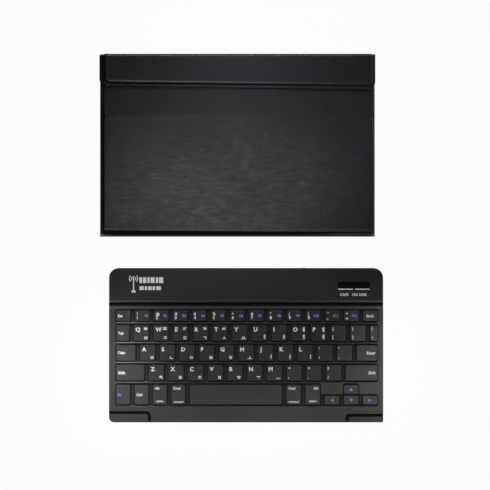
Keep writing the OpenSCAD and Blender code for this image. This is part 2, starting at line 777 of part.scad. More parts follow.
module deck_body() difference() {
    intersection() {
        translate([0, 0, parting_z]) kb_outline(0, bar_top);
        translate([kb_w / 2, 0, 0]) along_x(kb_w) deck_profile();
        translate([0, kb_d / 2, 0]) rotate([90, 0, 0])
            linear_extrude(kb_d, center = true) deck_front();
    }
    // Hollow of the bar, and the space under the keys
    translate([0, 0, parting_z - eps])
        round_plate(side_t, side_t, kb_w - side_t, bar_d - rib_t,
            [kb_rear_r - side_t, kb_rear_r - side_t, 0, 0], bar_roof_z - parting_z + eps);
    translate([side_t, key_bay_y, parting_z - eps])
        cube([kb_w - 2 * side_t, kb_d - max(land_left_d, land_right_d) - rib_t - key_bay_y,
            deck_top - deck_t - parting_z + eps]);
    for (slot = SLOTS) key_slot(slot[0], slot[1]);
    land(-kb_rear_r, land_left_w, land_left_d, land_left_r);
    land(kb_w - land_right_w, kb_w + kb_rear_r, land_right_d, land_right_r);
    translate([0, 0, bar_top - window_t]) window_place(0, bar_top);
    for (x = led_xs)
        translate([x, window_y, bar_roof_z - eps]) cylinder(d = led_d, h = deck_t + eps);
    rear_cuts();
}

module deck() color(abs_colour) on_keyboard() difference() {
    union() {
        deck_body();
        for (p = screw_places) translate([p[0], p[1], floor_z + boss_gap])
            cylinder(d = boss_d, h = groove_z - floor_z - boss_gap);
    }
    for (p = screw_places) translate([p[0], p[1], floor_z])
        cylinder(d = screw_core_d, h = screw_h - bottom_t + boss_gap);
}

// Rubber feet, let into the bottom cover near its corners
foot_sink = 0.3;
foot_in = 14;
foot_places = [[foot_in, foot_in], [kb_w - foot_in, foot_in], [foot_in, kb_d - foot_in],
    [kb_w - foot_in, kb_d - foot_in]];

module bottom_cover() color(abs_colour) on_keyboard() difference() {
    translate([0, 0, foot_h]) kb_outline(0, parting_z - foot_h);
    translate([0, 0, floor_z]) kb_outline(side_t, parting_z);
    for (p = screw_places)
        translate([p[0], p[1], foot_h - eps]) cylinder(d = screw_d, h = bottom_t + 2 * eps);
    for (p = foot_places)
        translate([p[0], p[1], foot_h - eps]) cylinder(d = foot_d, h = eps + foot_sink);
    rear_cuts();
}

module rubber_feet() color([0.08, 0.08, 0.08]) on_keyboard()
    for (p = foot_places) translate([p[0], p[1], 0]) cylinder(d = foot_d, h = foot_h + foot_sink);

// A screw: its head fills the hole in the cover and its core bites into the boss
module case_screws() color(steel_colour) on_keyboard()
    for (p = screw_places) translate([p[0], p[1], foot_h]) difference() {
        union() {
            cylinder(d = screw_d, h = bottom_t);
            cylinder(d = screw_core_d, h = screw_h);
        }
        translate([0, 0, -eps]) cylinder(d = screw_d / 2, h = eps + bottom_t / 2, $fn = 6);
    }

plate_in = 1;
module under_keys(z, h, inset)
    translate([side_t + inset, key_bay_y + inset, z])
        cube([kb_w - 2 * (side_t + inset), kb_d - side_t - key_bay_y - 2 * inset, h]);

module key_plate() color(steel_colour) on_keyboard() under_keys(floor_z, plate_t, plate_in);

// The membrane's tail passes beside a magnet to the circuit board
tail_w = 24;
tail_reach = 4;
tail_x = kb_w / 2 + kb_magnet_x - kb_magnet_w / 2 - side_t - tail_w / 2;
module membrane() color(film_colour) on_keyboard() {
    under_keys(membrane_z, membrane_t, plate_in);
    translate([tail_x - tail_w / 2, bar_d - tail_reach, membrane_z])
        cube([tail_w, key_bay_y + plate_in - bar_d + tail_reach, membrane_t]);
}

function key_mid(k) = [k[0] + k[2] / 2, k[1] + k[3] / 2];

// Two crossed frames under each key, seen from the side as an X, stand round a rubber dome
scissor_bar = 0.8;
scissor_lift = cap_roof_z - dome_z - scissor_t;
scissor_room = 2 * (cap_t + panel_gap);
dome_gap = 0.2;
function scissor_size(across) = min(across - scissor_room, scissor_w);
function dome_foot(k) = min(dome_d, scissor_size(k[2]) - 4 * scissor_bar - dome_gap);

module rubber_domes() color([0.75, 0.75, 0.72]) on_keyboard()
    for (k = ALL_KEYS) translate([key_mid(k)[0], key_mid(k)[1], dome_z])
        cylinder(d1 = dome_foot(k), d2 = dome_foot(k) / 2, h = cap_roof_z - dome_z);

module scissor_leaf(w, d, dir)
    for (side = [-1, 1]) translate([side * (w - scissor_bar) / 2, 0, 0])
        along_x(scissor_bar) polygon([
            [-dir * d / 2, 0], [-dir * d / 2, scissor_t],
            [dir * d / 2, scissor_lift + scissor_t], [dir * d / 2, scissor_lift]
        ]);

module scissor_frames() color(frame_colour) on_keyboard()
    for (k = ALL_KEYS) translate([key_mid(k)[0], key_mid(k)[1], dome_z]) {
        w = scissor_size(k[2]);
        d = scissor_size(k[3]);
        scissor_leaf(w, d, 1);
        scissor_leaf(w - 2 * scissor_bar, d, -1);
    }

// The circuit board carries a radio chip, a charging chip and the plug of the membrane's tail
chip_h = 0.9;
chips = [[0.12, 0.3, 7, 7], [0.3, 0.35, 5, 4], [0.46, 0.3, 9, 5], [0.66, 0.62, 4, 3]];
plug_w = 20;
plug_d = 3;
module circuit_board() color([0.1, 0.3, 0.16]) on_keyboard() {
    translate([kb_w - board_edge - board_w, side_t + board_gap, board_z]) {
        cube([board_w, board_d, board_t]);
        for (c = chips)
            translate([c[0] * board_w, c[1] * board_d, 0]) cube([c[2], c[3], board_t + chip_h]);
    }
    translate([tail_x - plug_w / 2, side_t + board_gap + board_d - plug_d, board_z])
        cube([plug_w, plug_d, board_t + chip_h]);
    for (x = [kb_w - board_edge - board_w + post_d, kb_w - board_edge - post_d])
        translate([x, side_t + board_d / 2, floor_z]) cylinder(d = post_d, h = board_rest);
}

// The cell lies left of the middle, beside the circuit board
battery_gap = 2;
battery_shift = 40;
module battery() color([0.75, 0.76, 0.78]) on_keyboard()
    translate([kb_w / 2 - battery_shift - battery_w / 2, side_t + battery_gap, floor_z])
        cube([battery_w, battery_d, battery_t]);

// A pressed shell round a tongue that carries the contacts
tongue_t = 0.6;
tongue_in = 1;
module usb_socket() color(steel_colour) on_keyboard()
    translate([kb_w - usb_x - socket_w / 2, 0, socket_z]) {
        difference() {
            cube([socket_w, usb_d, socket_h]);
            translate([usb_t, -eps, usb_t]) cube([usb_w, usb_d - usb_t + eps, usb_h]);
        }
        translate([usb_t + tongue_in, tongue_in, usb_t + usb_h - tongue_t - panel_gap])
            cube([usb_w - 2 * tongue_in, usb_d - tongue_in, tongue_t]);
    }

module power_switch() color([0.8, 0.8, 0.8]) on_keyboard()
    translate([kb_w - switch_x - switch_body_w / 2, side_t + board_gap, socket_z])
        cube([switch_body_w, switch_body_d, switch_body_h]);

module power_slider() color([0.2, 0.2, 0.2]) on_keyboard()
    translate([kb_w - switch_x + switch_travel / 2 - knob_w / 2, knob_in, socket_z + panel_gap])
        cube([knob_w, side_t, knob_h]);

module connect_button() color([0.2, 0.2, 0.2]) on_keyboard()
    translate([kb_w - button_x, -button_proud, button_z]) rotate([-90, 0, 0])
        cylinder(d = button_d, h = side_t + button_proud);

module indicator_window() color([0.03, 0.03, 0.035]) on_keyboard()
    translate([0, 0, bar_top - window_t]) window_place(-window_gap, window_t - window_gap);

module indicator_leds() color([0.85, 0.92, 1]) on_keyboard()
    for (x = led_xs) translate([x, window_y, socket_z])
        cylinder(d = led_d - 2 * led_gap, h = bar_top - window_t - socket_z);

module keyboard_magnets() color(steel_colour) on_keyboard()
    for (side = [-1, 1])
        translate([kb_w / 2 + side * kb_magnet_x - kb_magnet_w / 2, kb_magnet_y - kb_magnet_d / 2,
            floor_z])
            cube([kb_magnet_w, kb_magnet_d, kb_magnet_t]);

// A keycap: rounded in plan, bevelled round its top, hollow below
module keycap(k) translate([key_mid(k)[0], key_mid(k)[1], cap_z]) {
    w = k[2];
    d = k[3];
    difference() {
        intersection() {
            even_plate(-w / 2, -d / 2, w / 2, d / 2, cap_r, cap_h);
            along_x(w) bevel_profile(d);
            rotate([0, 0, 90]) along_x(d) bevel_profile(w);
        }
        translate([-w / 2 + cap_t, -d / 2 + cap_t, -eps])
            cube([w - 2 * cap_t, d - 2 * cap_t, cap_h - cap_t + eps]);
    }
}

module bevel_profile(w) polygon([
    [-w / 2, 0], [w / 2, 0], [w / 2, cap_h - cap_bevel], [w / 2 - cap_bevel, cap_h],
    [-w / 2 + cap_bevel, cap_h], [-w / 2, cap_h - cap_bevel]
]);

module keycaps(keys) color(cap_colour) on_keyboard() for (k = keys) keycap(k);

// The keys on which the first fingers rest carry a low bar near their front edge
homing_keys = [K_HOME[3], K_HOME[6]];
homing_in = 2.4;
homing_d = 0.7;
module homing_bars() color(cap_colour) on_keyboard()
    for (k = homing_keys)
        translate([key_mid(k)[0] - homing_w / 2, k[1] + k[3] - homing_in - homing_d,
            cap_z + cap_h - cap_t / 2])
            cube([homing_w, homing_d, cap_t / 2 + homing_h]);

back_leather();
back_board();
back_lining();
back_magnets();
corner_clips();
spine_leather();
spine_board();
spine_lining();
lower_leather();
lower_board();
lower_lining();
tablet_shell();
upper_leather();
upper_board();
catch_plate();
strip_leather();
strip_board();
flap_leather();
flap_board();
flap_magnets();
deck();
bottom_cover();
key_plate();
membrane();
rubber_domes();
scissor_frames();
circuit_board();
battery();
usb_socket();
power_switch();
power_slider();
connect_button();
indicator_window();
indicator_leds();
keyboard_magnets();
rubber_feet();
case_screws();
keycaps(K_ESCAPE);  // key_escape
keycaps(K_NUMBERS);  // number_keys
keycaps(K_BACKSPACE);  // key_backspace
keycaps(K_TAB);  // key_tab
keycaps(K_UPPER);  // upper_keys
keycaps(K_BACKSLASH);  // key_backslash
keycaps(K_CAPS);  // key_caps_lock
union() { keycaps(K_HOME); homing_bars(); }  // home_keys
keycaps(K_ENTER);  // key_enter
keycaps(K_SHIFT_L);  // key_shift_left
keycaps(K_LOWER);  // lower_keys
keycaps(K_SHIFT_R);  // key_shift_right
keycaps([K_MODIFIERS[0]]);  // key_function
keycaps([K_MODIFIERS[1]]);  // key_control
keycaps([K_MODIFIERS[2]]);  // key_option
keycaps([K_MODIFIERS[3]]);  // key_command
keycaps(K_SPACE);  // key_space
keycaps([K_RIGHT[0]]);  // key_command_right
keycaps([K_RIGHT[1]]);  // key_option_right
keycaps(K_LEFT_ARROW);  // key_left
keycaps(K_UP_ARROW);  // key_up
keycaps(K_DOWN_ARROW);  // key_down
keycaps(K_RIGHT_ARROW);  // key_right
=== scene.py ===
import json
import math

import bmesh
import bpy
import numpy as np
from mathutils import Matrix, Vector

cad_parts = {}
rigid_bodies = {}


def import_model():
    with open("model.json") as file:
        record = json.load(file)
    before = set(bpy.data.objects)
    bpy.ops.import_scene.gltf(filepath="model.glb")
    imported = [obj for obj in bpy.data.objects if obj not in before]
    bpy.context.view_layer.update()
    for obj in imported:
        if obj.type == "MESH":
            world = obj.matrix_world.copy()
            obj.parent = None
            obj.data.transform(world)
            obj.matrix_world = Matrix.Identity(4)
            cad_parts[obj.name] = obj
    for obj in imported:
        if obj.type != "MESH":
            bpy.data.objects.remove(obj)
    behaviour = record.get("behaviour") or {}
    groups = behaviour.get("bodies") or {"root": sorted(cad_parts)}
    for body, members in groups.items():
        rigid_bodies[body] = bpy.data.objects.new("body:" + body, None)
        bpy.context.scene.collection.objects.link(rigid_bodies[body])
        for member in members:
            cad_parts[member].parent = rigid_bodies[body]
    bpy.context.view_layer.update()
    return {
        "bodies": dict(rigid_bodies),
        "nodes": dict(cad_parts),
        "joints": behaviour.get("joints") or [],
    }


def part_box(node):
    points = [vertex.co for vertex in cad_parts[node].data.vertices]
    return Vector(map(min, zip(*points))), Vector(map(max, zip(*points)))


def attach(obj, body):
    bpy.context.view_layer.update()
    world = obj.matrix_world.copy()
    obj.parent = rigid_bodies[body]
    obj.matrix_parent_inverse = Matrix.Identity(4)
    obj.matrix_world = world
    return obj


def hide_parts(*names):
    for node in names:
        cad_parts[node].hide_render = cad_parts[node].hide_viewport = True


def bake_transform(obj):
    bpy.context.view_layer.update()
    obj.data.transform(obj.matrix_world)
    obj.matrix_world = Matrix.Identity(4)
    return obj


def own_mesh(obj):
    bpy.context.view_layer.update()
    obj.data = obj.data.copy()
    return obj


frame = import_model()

# ---------------------------------------------------------------- camera
# The pair is seen from straight above through a long lens, with the keyboard nearest the
# bottom of the picture. The picture is 490 mm wide at the height of the table.
MM = 0.001
VIEW_WIDTH = 490 * MM
VIEW_MIDDLE = Vector((3.4 * MM, -6.6 * MM, 0))
CAMERA_HEIGHT = 5.0
SENSOR = 36

camera_data = bpy.data.cameras.new("camera")
camera_data.sensor_width = SENSOR
camera_data.lens = SENSOR * CAMERA_HEIGHT / VIEW_WIDTH
camera_data.clip_end = 50
camera = bpy.data.objects.new("camera", camera_data)
camera.location = VIEW_MIDDLE + Vector((0, 0, CAMERA_HEIGHT))
bpy.context.scene.collection.objects.link(camera)
bpy.context.scene.camera = camera
bpy.context.scene.view_settings.view_transform = "Standard"


# ---------------------------------------------------------------- finishes
# Every finish is a small node tree. A Wave is one socket of it, and adding or multiplying
# waves adds the Math nodes, so that a formula reads as it would on paper.
class Wave:
    def __init__(self, finish, socket):
        self.finish = finish
        self.socket = socket

    def combine(self, operation, first, second):
        node = self.finish.tree.nodes.new("ShaderNodeMath")
        node.operation = operation
        for slot, value in zip(node.inputs, (first, second)):
            if isinstance(value, Wave):
                self.finish.tree.links.new(value.socket, slot)
            else:
                slot.default_value = value
        return Wave(self.finish, node.outputs[0])

    def __add__(self, other):
        return self.combine("ADD", self, other)

    __radd__ = __add__

    def __mul__(self, other):
        return self.combine("MULTIPLY", self, other)

    __rmul__ = __mul__

    def __sub__(self, other):
        return self.combine("SUBTRACT", self, other)

    def __rsub__(self, other):
        return self.combine("SUBTRACT", other, self)

    def __gt__(self, other):
        return self.combine("GREATER_THAN", self, other)

    def __lt__(self, other):
        return self.combine("LESS_THAN", self, other)

    def at_most(self, other):
        return self.combine("MINIMUM", self, other)

    def at_least(self, other):
        return self.combine("MAXIMUM", self, other)


class Finish:
    """A material with one Principled shader. set() gives a socket a plain value or a Wave."""

    def __init__(self, name, **values):
        self.material = bpy.data.materials.new(name)
        self.material.use_nodes = True
        self.tree = self.material.node_tree
        self.shader = self.tree.nodes["Principled BSDF"]
        self.place = self.node("ShaderNodeTexCoord", out="Object")
        for socket, value in values.items():
            self.set(socket.replace("_", " "), value)

    def set(self, socket, value):
        if isinstance(value, Wave):
            self.tree.links.new(value.socket, self.shader.inputs[socket])
        else:
            self.shader.inputs[socket].default_value = value

    def node(self, kind, out=0, settings=None, **inputs):
        """One node: its settings first, then the values or waves of its sockets."""
        node = self.tree.nodes.new(kind)
        for name, value in (settings or {}).items():
            setattr(node, name, value)
        for name, value in inputs.items():
            socket = node.inputs[int(name[1:])] if name[0] == "i" and name[1:].isdigit() \
                else node.inputs[name.replace("_", " ")]
            if isinstance(value, Wave):
                self.tree.links.new(value.socket, socket)
            else:
                socket.default_value = value
        return Wave(self, node.outputs[out])

    def noise(self, scale, detail=2.0, rough=0.5, place=None):
        return self.node("ShaderNodeTexNoise", Vector=place or self.place, Scale=scale,
                         Detail=detail, Roughness=rough)

    def cells(self, scale, feature="F1", place=None):
        return self.node("ShaderNodeTexVoronoi", settings={"feature": feature},
                         Vector=place or self.place, Scale=scale)

    def between(self, factor, low, high):
        """A colour that goes from low to high as the wave goes from 0 to 1, and on past it."""
        node = self.tree.nodes.new("ShaderNodeMix")
        node.data_type = "RGBA"
        node.clamp_factor = False
        self.tree.links.new(factor.socket, node.inputs["Factor"])
        node.inputs[6].default_value = (*low, 1)
        node.inputs[7].default_value = (*high, 1)
        return Wave(self, node.outputs[2])

    def bump(self, height, depth, strength=1.0):
        """Raises the surface by the wave, depth metres for a wave of 1."""
        self.set("Normal", self.node("ShaderNodeBump", Height=height, Distance=depth,
                                     Strength=strength))


def grained_plastic(name, low, high, roughness=0.5, grain=2600, depth=0.00002, patch=30):
    """Moulded plastic: spark-eroded grain from fine noise, and slow patches of tone."""
    finish = Finish(name, Specular_IOR_Level=0.35)
    fine = finish.noise(grain, detail=3)
    slow = finish.noise(patch)
    finish.set("Base Color", finish.between(slow * 0.7 + fine * 0.3, low, high))
    finish.set("Roughness", roughness - 0.05 + slow * 0.1)
    finish.bump(fine, depth)
    return finish.material


def dress(material, *nodes):
    """Gives CAD nodes that keep their shape their finish."""
    for node in nodes:
        mesh = frame["nodes"][node].data
        mesh.materials.clear()
        mesh.materials.append(material)


# ---------------------------------------------------------------- table and light
# The pair lies on a white table. Small lamps far behind, one aimed at the case and one at the
# keyboard, draw bright lines on them, and a third glints on the keyboard's left. Soft lamps low
# over both give their flat faces a sheen. The large ones, right and rear, light all evenly.
FLOOR_SIZE = 12.0
FLOOR_TONE = 0.86
FLOOR_GLOW = 0.96
FLOOR_DROP = 0.0002

floor_mesh = bpy.data.meshes.new("floor")
half = FLOOR_SIZE / 2
floor_mesh.from_pydata([(-half, -half, 0), (half, -half, 0), (half, half, 0), (-half, half, 0)],
                       [], [(0, 1, 2, 3)])
floor = bpy.data.objects.new("floor", floor_mesh)
floor.location.z = -FLOOR_DROP
bpy.context.scene.collection.objects.link(floor)

floor_finish = Finish("white_table", Base_Color=(FLOOR_TONE, FLOOR_TONE, FLOOR_TONE, 1),
                      Roughness=0.9)
light_path = floor_finish.tree.nodes.new("ShaderNodeLightPath")
seen = Wave(floor_finish, light_path.outputs["Is Camera Ray"]).at_least(
    Wave(floor_finish, light_path.outputs["Is Glossy Ray"])).at_least(
    Wave(floor_finish, light_path.outputs["Is Transmission Ray"]))
glow = floor_finish.node("ShaderNodeEmission", Color=(1, 1, 1, 1), Strength=1.0)
paper = Wave(floor_finish, floor_finish.shader.outputs[0])
mixed = floor_finish.node("ShaderNodeMixShader", i0=seen * FLOOR_GLOW, i1=paper, i2=glow)
floor_finish.tree.links.new(mixed.socket,
                            floor_finish.tree.nodes["Material Output"].inputs["Surface"])
floor_mesh.materials.append(floor_finish.material)

AMBIENT = 0.06
world = bpy.data.worlds.new("world")
world.use_nodes = True
bpy.context.scene.world = world
sky = world.node_tree
ambient = sky.nodes["Background"]
ambient.inputs["Color"].default_value = (0.97, 0.98, 1, 1)
ambient.inputs["Strength"].default_value = AMBIENT
bright = sky.nodes.new("ShaderNodeBackground")
bright.inputs["Color"].default_value = (1, 1, 1, 1)
path = sky.nodes.new("ShaderNodeLightPath")
choose = sky.nodes.new("ShaderNodeMixShader")
sky.links.new(path.outputs["Is Camera Ray"], choose.inputs[0])
sky.links.new(ambient.outputs[0], choose.inputs[1])
sky.links.new(bright.outputs[0], choose.inputs[2])
sky.links.new(choose.outputs[0], sky.nodes["World Output"].inputs["Surface"])


def soft_light(name, place, size, level, colour, aim, beam=180):
    """An elliptic lamp, in metres, that faces the aim and that the camera doesn't see. A
    white surface that faces it there gets the level; beam is its full angle in degrees."""
    place, aim = Vector(place), Vector(aim)
    half_beam = math.radians(beam) / 2
    narrow = 1 - half_beam / math.tan(half_beam)
    data = bpy.data.lights.new(name, "AREA")
    data.shape = "ELLIPSE"
    data.size, data.size_y = size
    data.spread = 2 * half_beam
    data.energy = level * narrow * math.pi ** 2 * ((aim - place).length_squared
                                                   + size[0] * size[1] / 4)
    data.color = colour
    lamp = bpy.data.objects.new(name, data)
    lamp.location = place
    lamp.rotation_euler = (aim - place).to_track_quat("-Z", "Y").to_euler()
    lamp.visible_camera = False
    bpy.context.scene.collection.objects.link(lamp)


PLAIN, COOL, WARM = (1.0, 1.0, 1.0), (0.80, 0.76, 1.0), (1.0, 0.99, 0.97)
LAMPS = [
    # name, place, width and depth, level, colour, aim, beam
    ("case_rear", (-0.07, 0.74, 0.55), (0.12, 0.12), 0.42, PLAIN, (-0.01, 0.10, 0), 36),
    ("case_over", (-0.034, 0.043, 0.30), (0.24, 0.12), 0.35, WARM, (-0.034, 0.043, 0), 64),
    ("flap_over", (0.00, 0.220, 0.30), (0.12, 0.06), 0.11, COOL, (0.0, 0.21, 0), 60),
    ("case_right", (0.13, 0.09, 0.30), (0.08, 0.16), 0.038, COOL, (0.12, 0.09, 0), 80),
    ("keys_rear", (-0.40, 0.50, 0.66), (0.10, 0.10), 0.22, PLAIN, (0.0, -0.14, 0), 22),
    ("keys_glint", (-0.130, 0.075, 0.25), (0.05, 0.04), 0.80, PLAIN, (-0.130, -0.14, 0), 26),
    ("keys_over", (-0.01, -0.128, 0.20), (0.20, 0.10), 0.16, PLAIN, (-0.01, -0.128, 0), 56),
    ("keys_left", (-0.134, -0.138, 0.20), (0.06, 0.14), 0.34, PLAIN, (-0.134, -0.138, 0), 56),
    ("keys_right", (0.150, -0.140, 0.20), (0.07, 0.15), 0.40, PLAIN, (0.150, -0.140, 0), 56),
    ("keys_front", (-0.005, -0.176, 0.20), (0.22, 0.05), 0.46, PLAIN, (-0.005, -0.176, 0), 56),
    ("bar_left", (-0.090, -0.058, 0.20), (0.10, 0.03), 0.035, PLAIN, (-0.090, -0.058, 0), 56),
    ("bar_right", (0.060, -0.058, 0.20), (0.06, 0.03), 0.025, PLAIN, (0.060, -0.058, 0), 56),
    ("side_right", (0.80, 0.20, 0.55), (0.40, 0.40), 0.13, COOL, (0.0, 0.0, 0), 180),
    ("side_rear", (0.30, 0.90, 0.60), (0.40, 0.40), 0.13, PLAIN, (0.0, 0.0, 0), 180),
]
for lamp_values in LAMPS:
    soft_light(*lamp_values)


# ---------------------------------------------------------------- leather
# Split leather, dyed black and pressed with a fine pebble grain, is glued round board. Where its
# face turns to the left, the front or steeply to the back it is glossier, and its colour is painted
# darker there as painted shade. At each fold it runs on without board. Every skin here is one band
# carried along a path.
LEATHER_LOW = (0.0032, 0.0031, 0.0038)
LEATHER_HIGH = (0.0078, 0.0077, 0.0088)
SHADE_FROM = 0.16
SHADE_RATE = 7.0
SHADE_BACK = 0.28
GRAIN_SIZE = 1250
GRAIN_DEPTH = 0.00010
FOLD_SIZE = 430
FOLD_DEPTH = 1.7
DRIFT_SIZE = 26
HIDE_SIZE = 90
MATT = 0.44
GLOSSY = 0.17

leather = Finish("case_leather", Specular_IOR_Level=0.5)
pebble = leather.cells(GRAIN_SIZE) * 0.75 + leather.noise(GRAIN_SIZE * 2.2, detail=3) * 0.5
along_x = leather.node("ShaderNodeVectorMath", settings={"operation": "MULTIPLY"},
                       i0=leather.place, i1=(0.22, 1.0, 1.0))
fold = leather.noise(FOLD_SIZE, detail=4, rough=0.6, place=along_x)
drift = leather.noise(DRIFT_SIZE, detail=4)
hide = leather.noise(HIDE_SIZE, detail=4)
facing = leather.node("ShaderNodeTexCoord", out="Normal")
to_right, to_back = (leather.node("ShaderNodeSeparateXYZ", out=i, Vector=facing)
                     for i in (0, 1))
# Painted shade: faces turned left, forward or steeply back get the darkest colour and a glossier
# finish.
steep = (0 - to_right).at_least(0 - to_back).at_least(to_back - SHADE_BACK)
shade_and_gloss = ((steep - SHADE_FROM) * SHADE_RATE).at_least(0).at_most(1)
tone = (drift * 0.4 + hide * 0.35 + fold * 0.25) * (1 - shade_and_gloss)
mottle = (drift - 0.5) * 0.16 + (hide - 0.5) * 0.18 + (fold - 0.5) * 0.32
rough = MATT + mottle
leather.set("Base Color", leather.between(tone, LEATHER_LOW, LEATHER_HIGH))
leather.set("Roughness", rough * (1 - shade_and_gloss) + shade_and_gloss * GLOSSY)
leather.bump((pebble + hide * 0.6 + fold * FOLD_DEPTH) * (1 - shade_and_gloss * 0.8), GRAIN_DEPTH, 0.55)
leather = leather.material

back_lo, back_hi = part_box("back_leather")
front_lo, front_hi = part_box("lower_leather")
upper_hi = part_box("upper_leather")[1]
flap_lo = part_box("flap_leather")[0]
spine_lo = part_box("spine_leather")[0]

PANEL_T = back_hi.z - back_lo.z
CASE_X = (back_lo.x + back_hi.x) / 2
CASE_Y = spine_lo.y
BACK_HALF = (back_hi.x - back_lo.x) / 2
FRONT_HALF = (front_hi.x - front_lo.x) / 2
BACK_MID = PANEL_T / 2
FRONT_MID = front_lo.z + PANEL_T / 2
FLAP_MID = flap_lo.z + PANEL_T / 2
SPINE_Y = CASE_Y + PANEL_T / 2
STRIP_Y = back_hi.y - PANEL_T / 2
MID_HEIGHT = (BACK_MID + FRONT_MID) / 2


def bent_path(start, corner, end, radius, step=1.5 * MM, turns=14):
    """Points of a straight run, a quarter round of the radius at the corner, and a straight
    run, with the unit normal that is the direction turned a quarter to the left."""
    start, corner, end = map(np.array, (start, corner, end))
    into = (corner - start) / np.linalg.norm(corner - start)
    out = (end - corner) / np.linalg.norm(end - corner)
    first, last = corner - into * radius, corner + out * radius
    centre = first + out * radius
    count = max(2, int(np.linalg.norm(first - start) / step))
    run = start + (first - start) * np.linspace(0, 1, count, endpoint=False)[:, None]
    angle = np.linspace(0, math.pi / 2, turns)[:, None]
    turn = centre - out * radius * np.cos(angle) + into * radius * np.sin(angle)
    count = max(2, int(np.linalg.norm(end - last) / step))
    rest = last + (end - last) * np.linspace(0, 1, count + 1)[1:, None]
    points = np.vstack([run, turn, rest])
    along = np.gradient(points, axis=0)
    along /= np.linalg.norm(along, axis=1)[:, None]
    return points, np.stack([-along[:, 1], along[:, 0]], axis=1)


def run_lengths(points):
    """The distance along a path from its start to each of its points."""
    steps = np.linalg.norm(np.diff(points, axis=0), axis=1)
    return np.concatenate([[0], np.cumsum(steps)])


def edge_insets(half_width):
    """Distances from a side edge to the middle: close together over the first 12 mm."""
    fine = np.arange(1.5, 12.5, 0.5) * MM
    coarse = np.linspace(12.5 * MM, half_width, 26)[1:]
    return np.concatenate([fine, coarse])


EDGE_TURN = np.radians([90, 60, 30, 0, -30, -60, -90])
EDGE_SLOPE_W = 4.2 * MM
EDGE_SLOPE_POWER = 1.4
END_THICKNESS = 0.02
SOFT_EDGES = (1.5 * MM, 0.4 * MM)
FIRM_EDGES = (0.3 * MM, 0.3 * MM)
LINING_PROUD = 0.2 * MM


def band(name, points, normals, half_width, relief=None, shift=None, ends=("butt", "butt"),
         edges=FIRM_EDGES):
    """A leather skin: at each point of the path a flat section with round edges.
    The section runs over the outer face from left to right, round the edge, and back over
    the inner face. half_width gives the width at each point, relief raises the outer face
    at (distance across, point, inset from the edge) and shift slides it along the path.
    The outer face slopes down to its left and right edges by the two drops in edges, and
    the inner face lies a little deeper than the CAD one, so that the lining stands proud."""
    t = PANEL_T / 2
    insets = edge_insets(float(half_width.max()))
    left = insets[::-1]
    inset = np.concatenate([insets, left[1:]])
    side = np.concatenate([-np.ones(len(insets)), np.ones(len(insets) - 1)])
    edge_inset = t * (1 - np.cos(EDGE_TURN))
    edge_height = np.sin(EDGE_TURN)
    ring_inset = np.concatenate([inset, edge_inset, inset[::-1], edge_inset])
    turns = len(EDGE_TURN)
    ring_side = np.concatenate([side, np.ones(turns), side[::-1], -np.ones(turns)])
    ring_height = np.concatenate([np.ones(len(inset)), edge_height, -np.ones(len(inset)),
                                  edge_height[::-1]])
    outer = np.concatenate([np.ones(len(inset)), np.zeros(2 * turns + len(inset))])
    count, ring = len(points), len(ring_inset)
    across = ring_side[None, :] * np.maximum(half_width[:, None] - ring_inset[None, :], 0)
    distance = run_lengths(points)
    thick = np.ones(count)
    for end, away in zip(ends, (distance, distance[-1] - distance)):
        if end == "round":
            near = np.clip(away / t, 0, 1)
            thick *= np.sqrt(np.clip(1 - (1 - near) ** 2, END_THICKNESS, 1))
    flat_in = np.where(ring_height == -1, LINING_PROUD, 0)
    height = (ring_height * t + flat_in)[None, :] * thick[:, None]
    drop = np.where(ring_side < 0, edges[0], edges[1])
    slope = np.clip(1 - ring_inset / EDGE_SLOPE_W, 0, 1) ** EDGE_SLOPE_POWER * drop
    height -= (slope * np.where(outer > 0, 1, np.clip(ring_height, 0, 1)))[None, :] * thick[:, None]
    if relief is not None:
        height += outer[None, :] * relief(across, distance[:, None] + 0 * across,
                                          half_width[:, None] - np.abs(across))
    y = points[:, 0:1] + normals[:, 0:1] * height
    z = points[:, 1:2] + normals[:, 1:2] * height
    if shift is not None:
        y = y + shift(across, distance[:, None] + 0 * across)
    verts = np.stack([CASE_X + across, y, z], axis=2).reshape(-1, 3)
    j, k = np.meshgrid(np.arange(count - 1), np.arange(ring), indexing="ij")
    k2 = (k + 1) % ring
    quads = np.stack([j * ring + k, j * ring + k2, (j + 1) * ring + k2, (j + 1) * ring + k],
                     axis=2).reshape(-1, 4)
    faces = quads.tolist()
    faces.append(list(range(ring)))
    faces.append(list(range((count - 1) * ring, count * ring)))
    return solid(name, verts, faces, leather)


def solid(name, verts, faces, material, smooth_angle=40):
    """A mesh object from points and faces, its faces turned outwards and shaded smooth."""
    mesh = bpy.data.meshes.new(name)
    mesh.from_pydata(np.asarray(verts).tolist(), [], faces)
    shape = bmesh.new()
    shape.from_mesh(mesh)
    bmesh.ops.recalc_face_normals(shape, faces=shape.faces)
    shape.to_mesh(mesh)
    shape.free()
    mesh.polygons.foreach_set("use_smooth", [True] * len(mesh.polygons))
    mesh.set_sharp_from_angle(angle=math.radians(smooth_angle))
    mesh.materials.append(material)
    piece = bpy.data.objects.new(name, mesh)
    bpy.context.scene.collection.objects.link(piece)
    return piece


# ---------------------------------------------------------------- back cover
# The back cover is one leather panel round a board. It turns up at the spine and, on the
# closing edge, into the strip that carries the flap.
BACK_FOLD_R = 2.4 * MM
STRIP_FOLD_R = 2.0 * MM
BACK_JOIN_Y = STRIP_Y - 12 * MM

points, normals = bent_path((BACK_JOIN_Y, BACK_MID), (SPINE_Y, BACK_MID),
                            (SPINE_Y, MID_HEIGHT), BACK_FOLD_R)
back_skin = band("back_skin", points, normals, np.full(len(points), BACK_HALF))
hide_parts("back_leather")
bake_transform(back_skin)

points, normals = bent_path((STRIP_Y, (BACK_MID + FLAP_MID) / 2), (STRIP_Y, BACK_MID),
                            (BACK_JOIN_Y, BACK_MID), STRIP_FOLD_R)
strip_skin = band("strip_skin", points, normals, np.full(len(points), BACK_HALF))
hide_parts("strip_leather")
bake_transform(strip_skin)
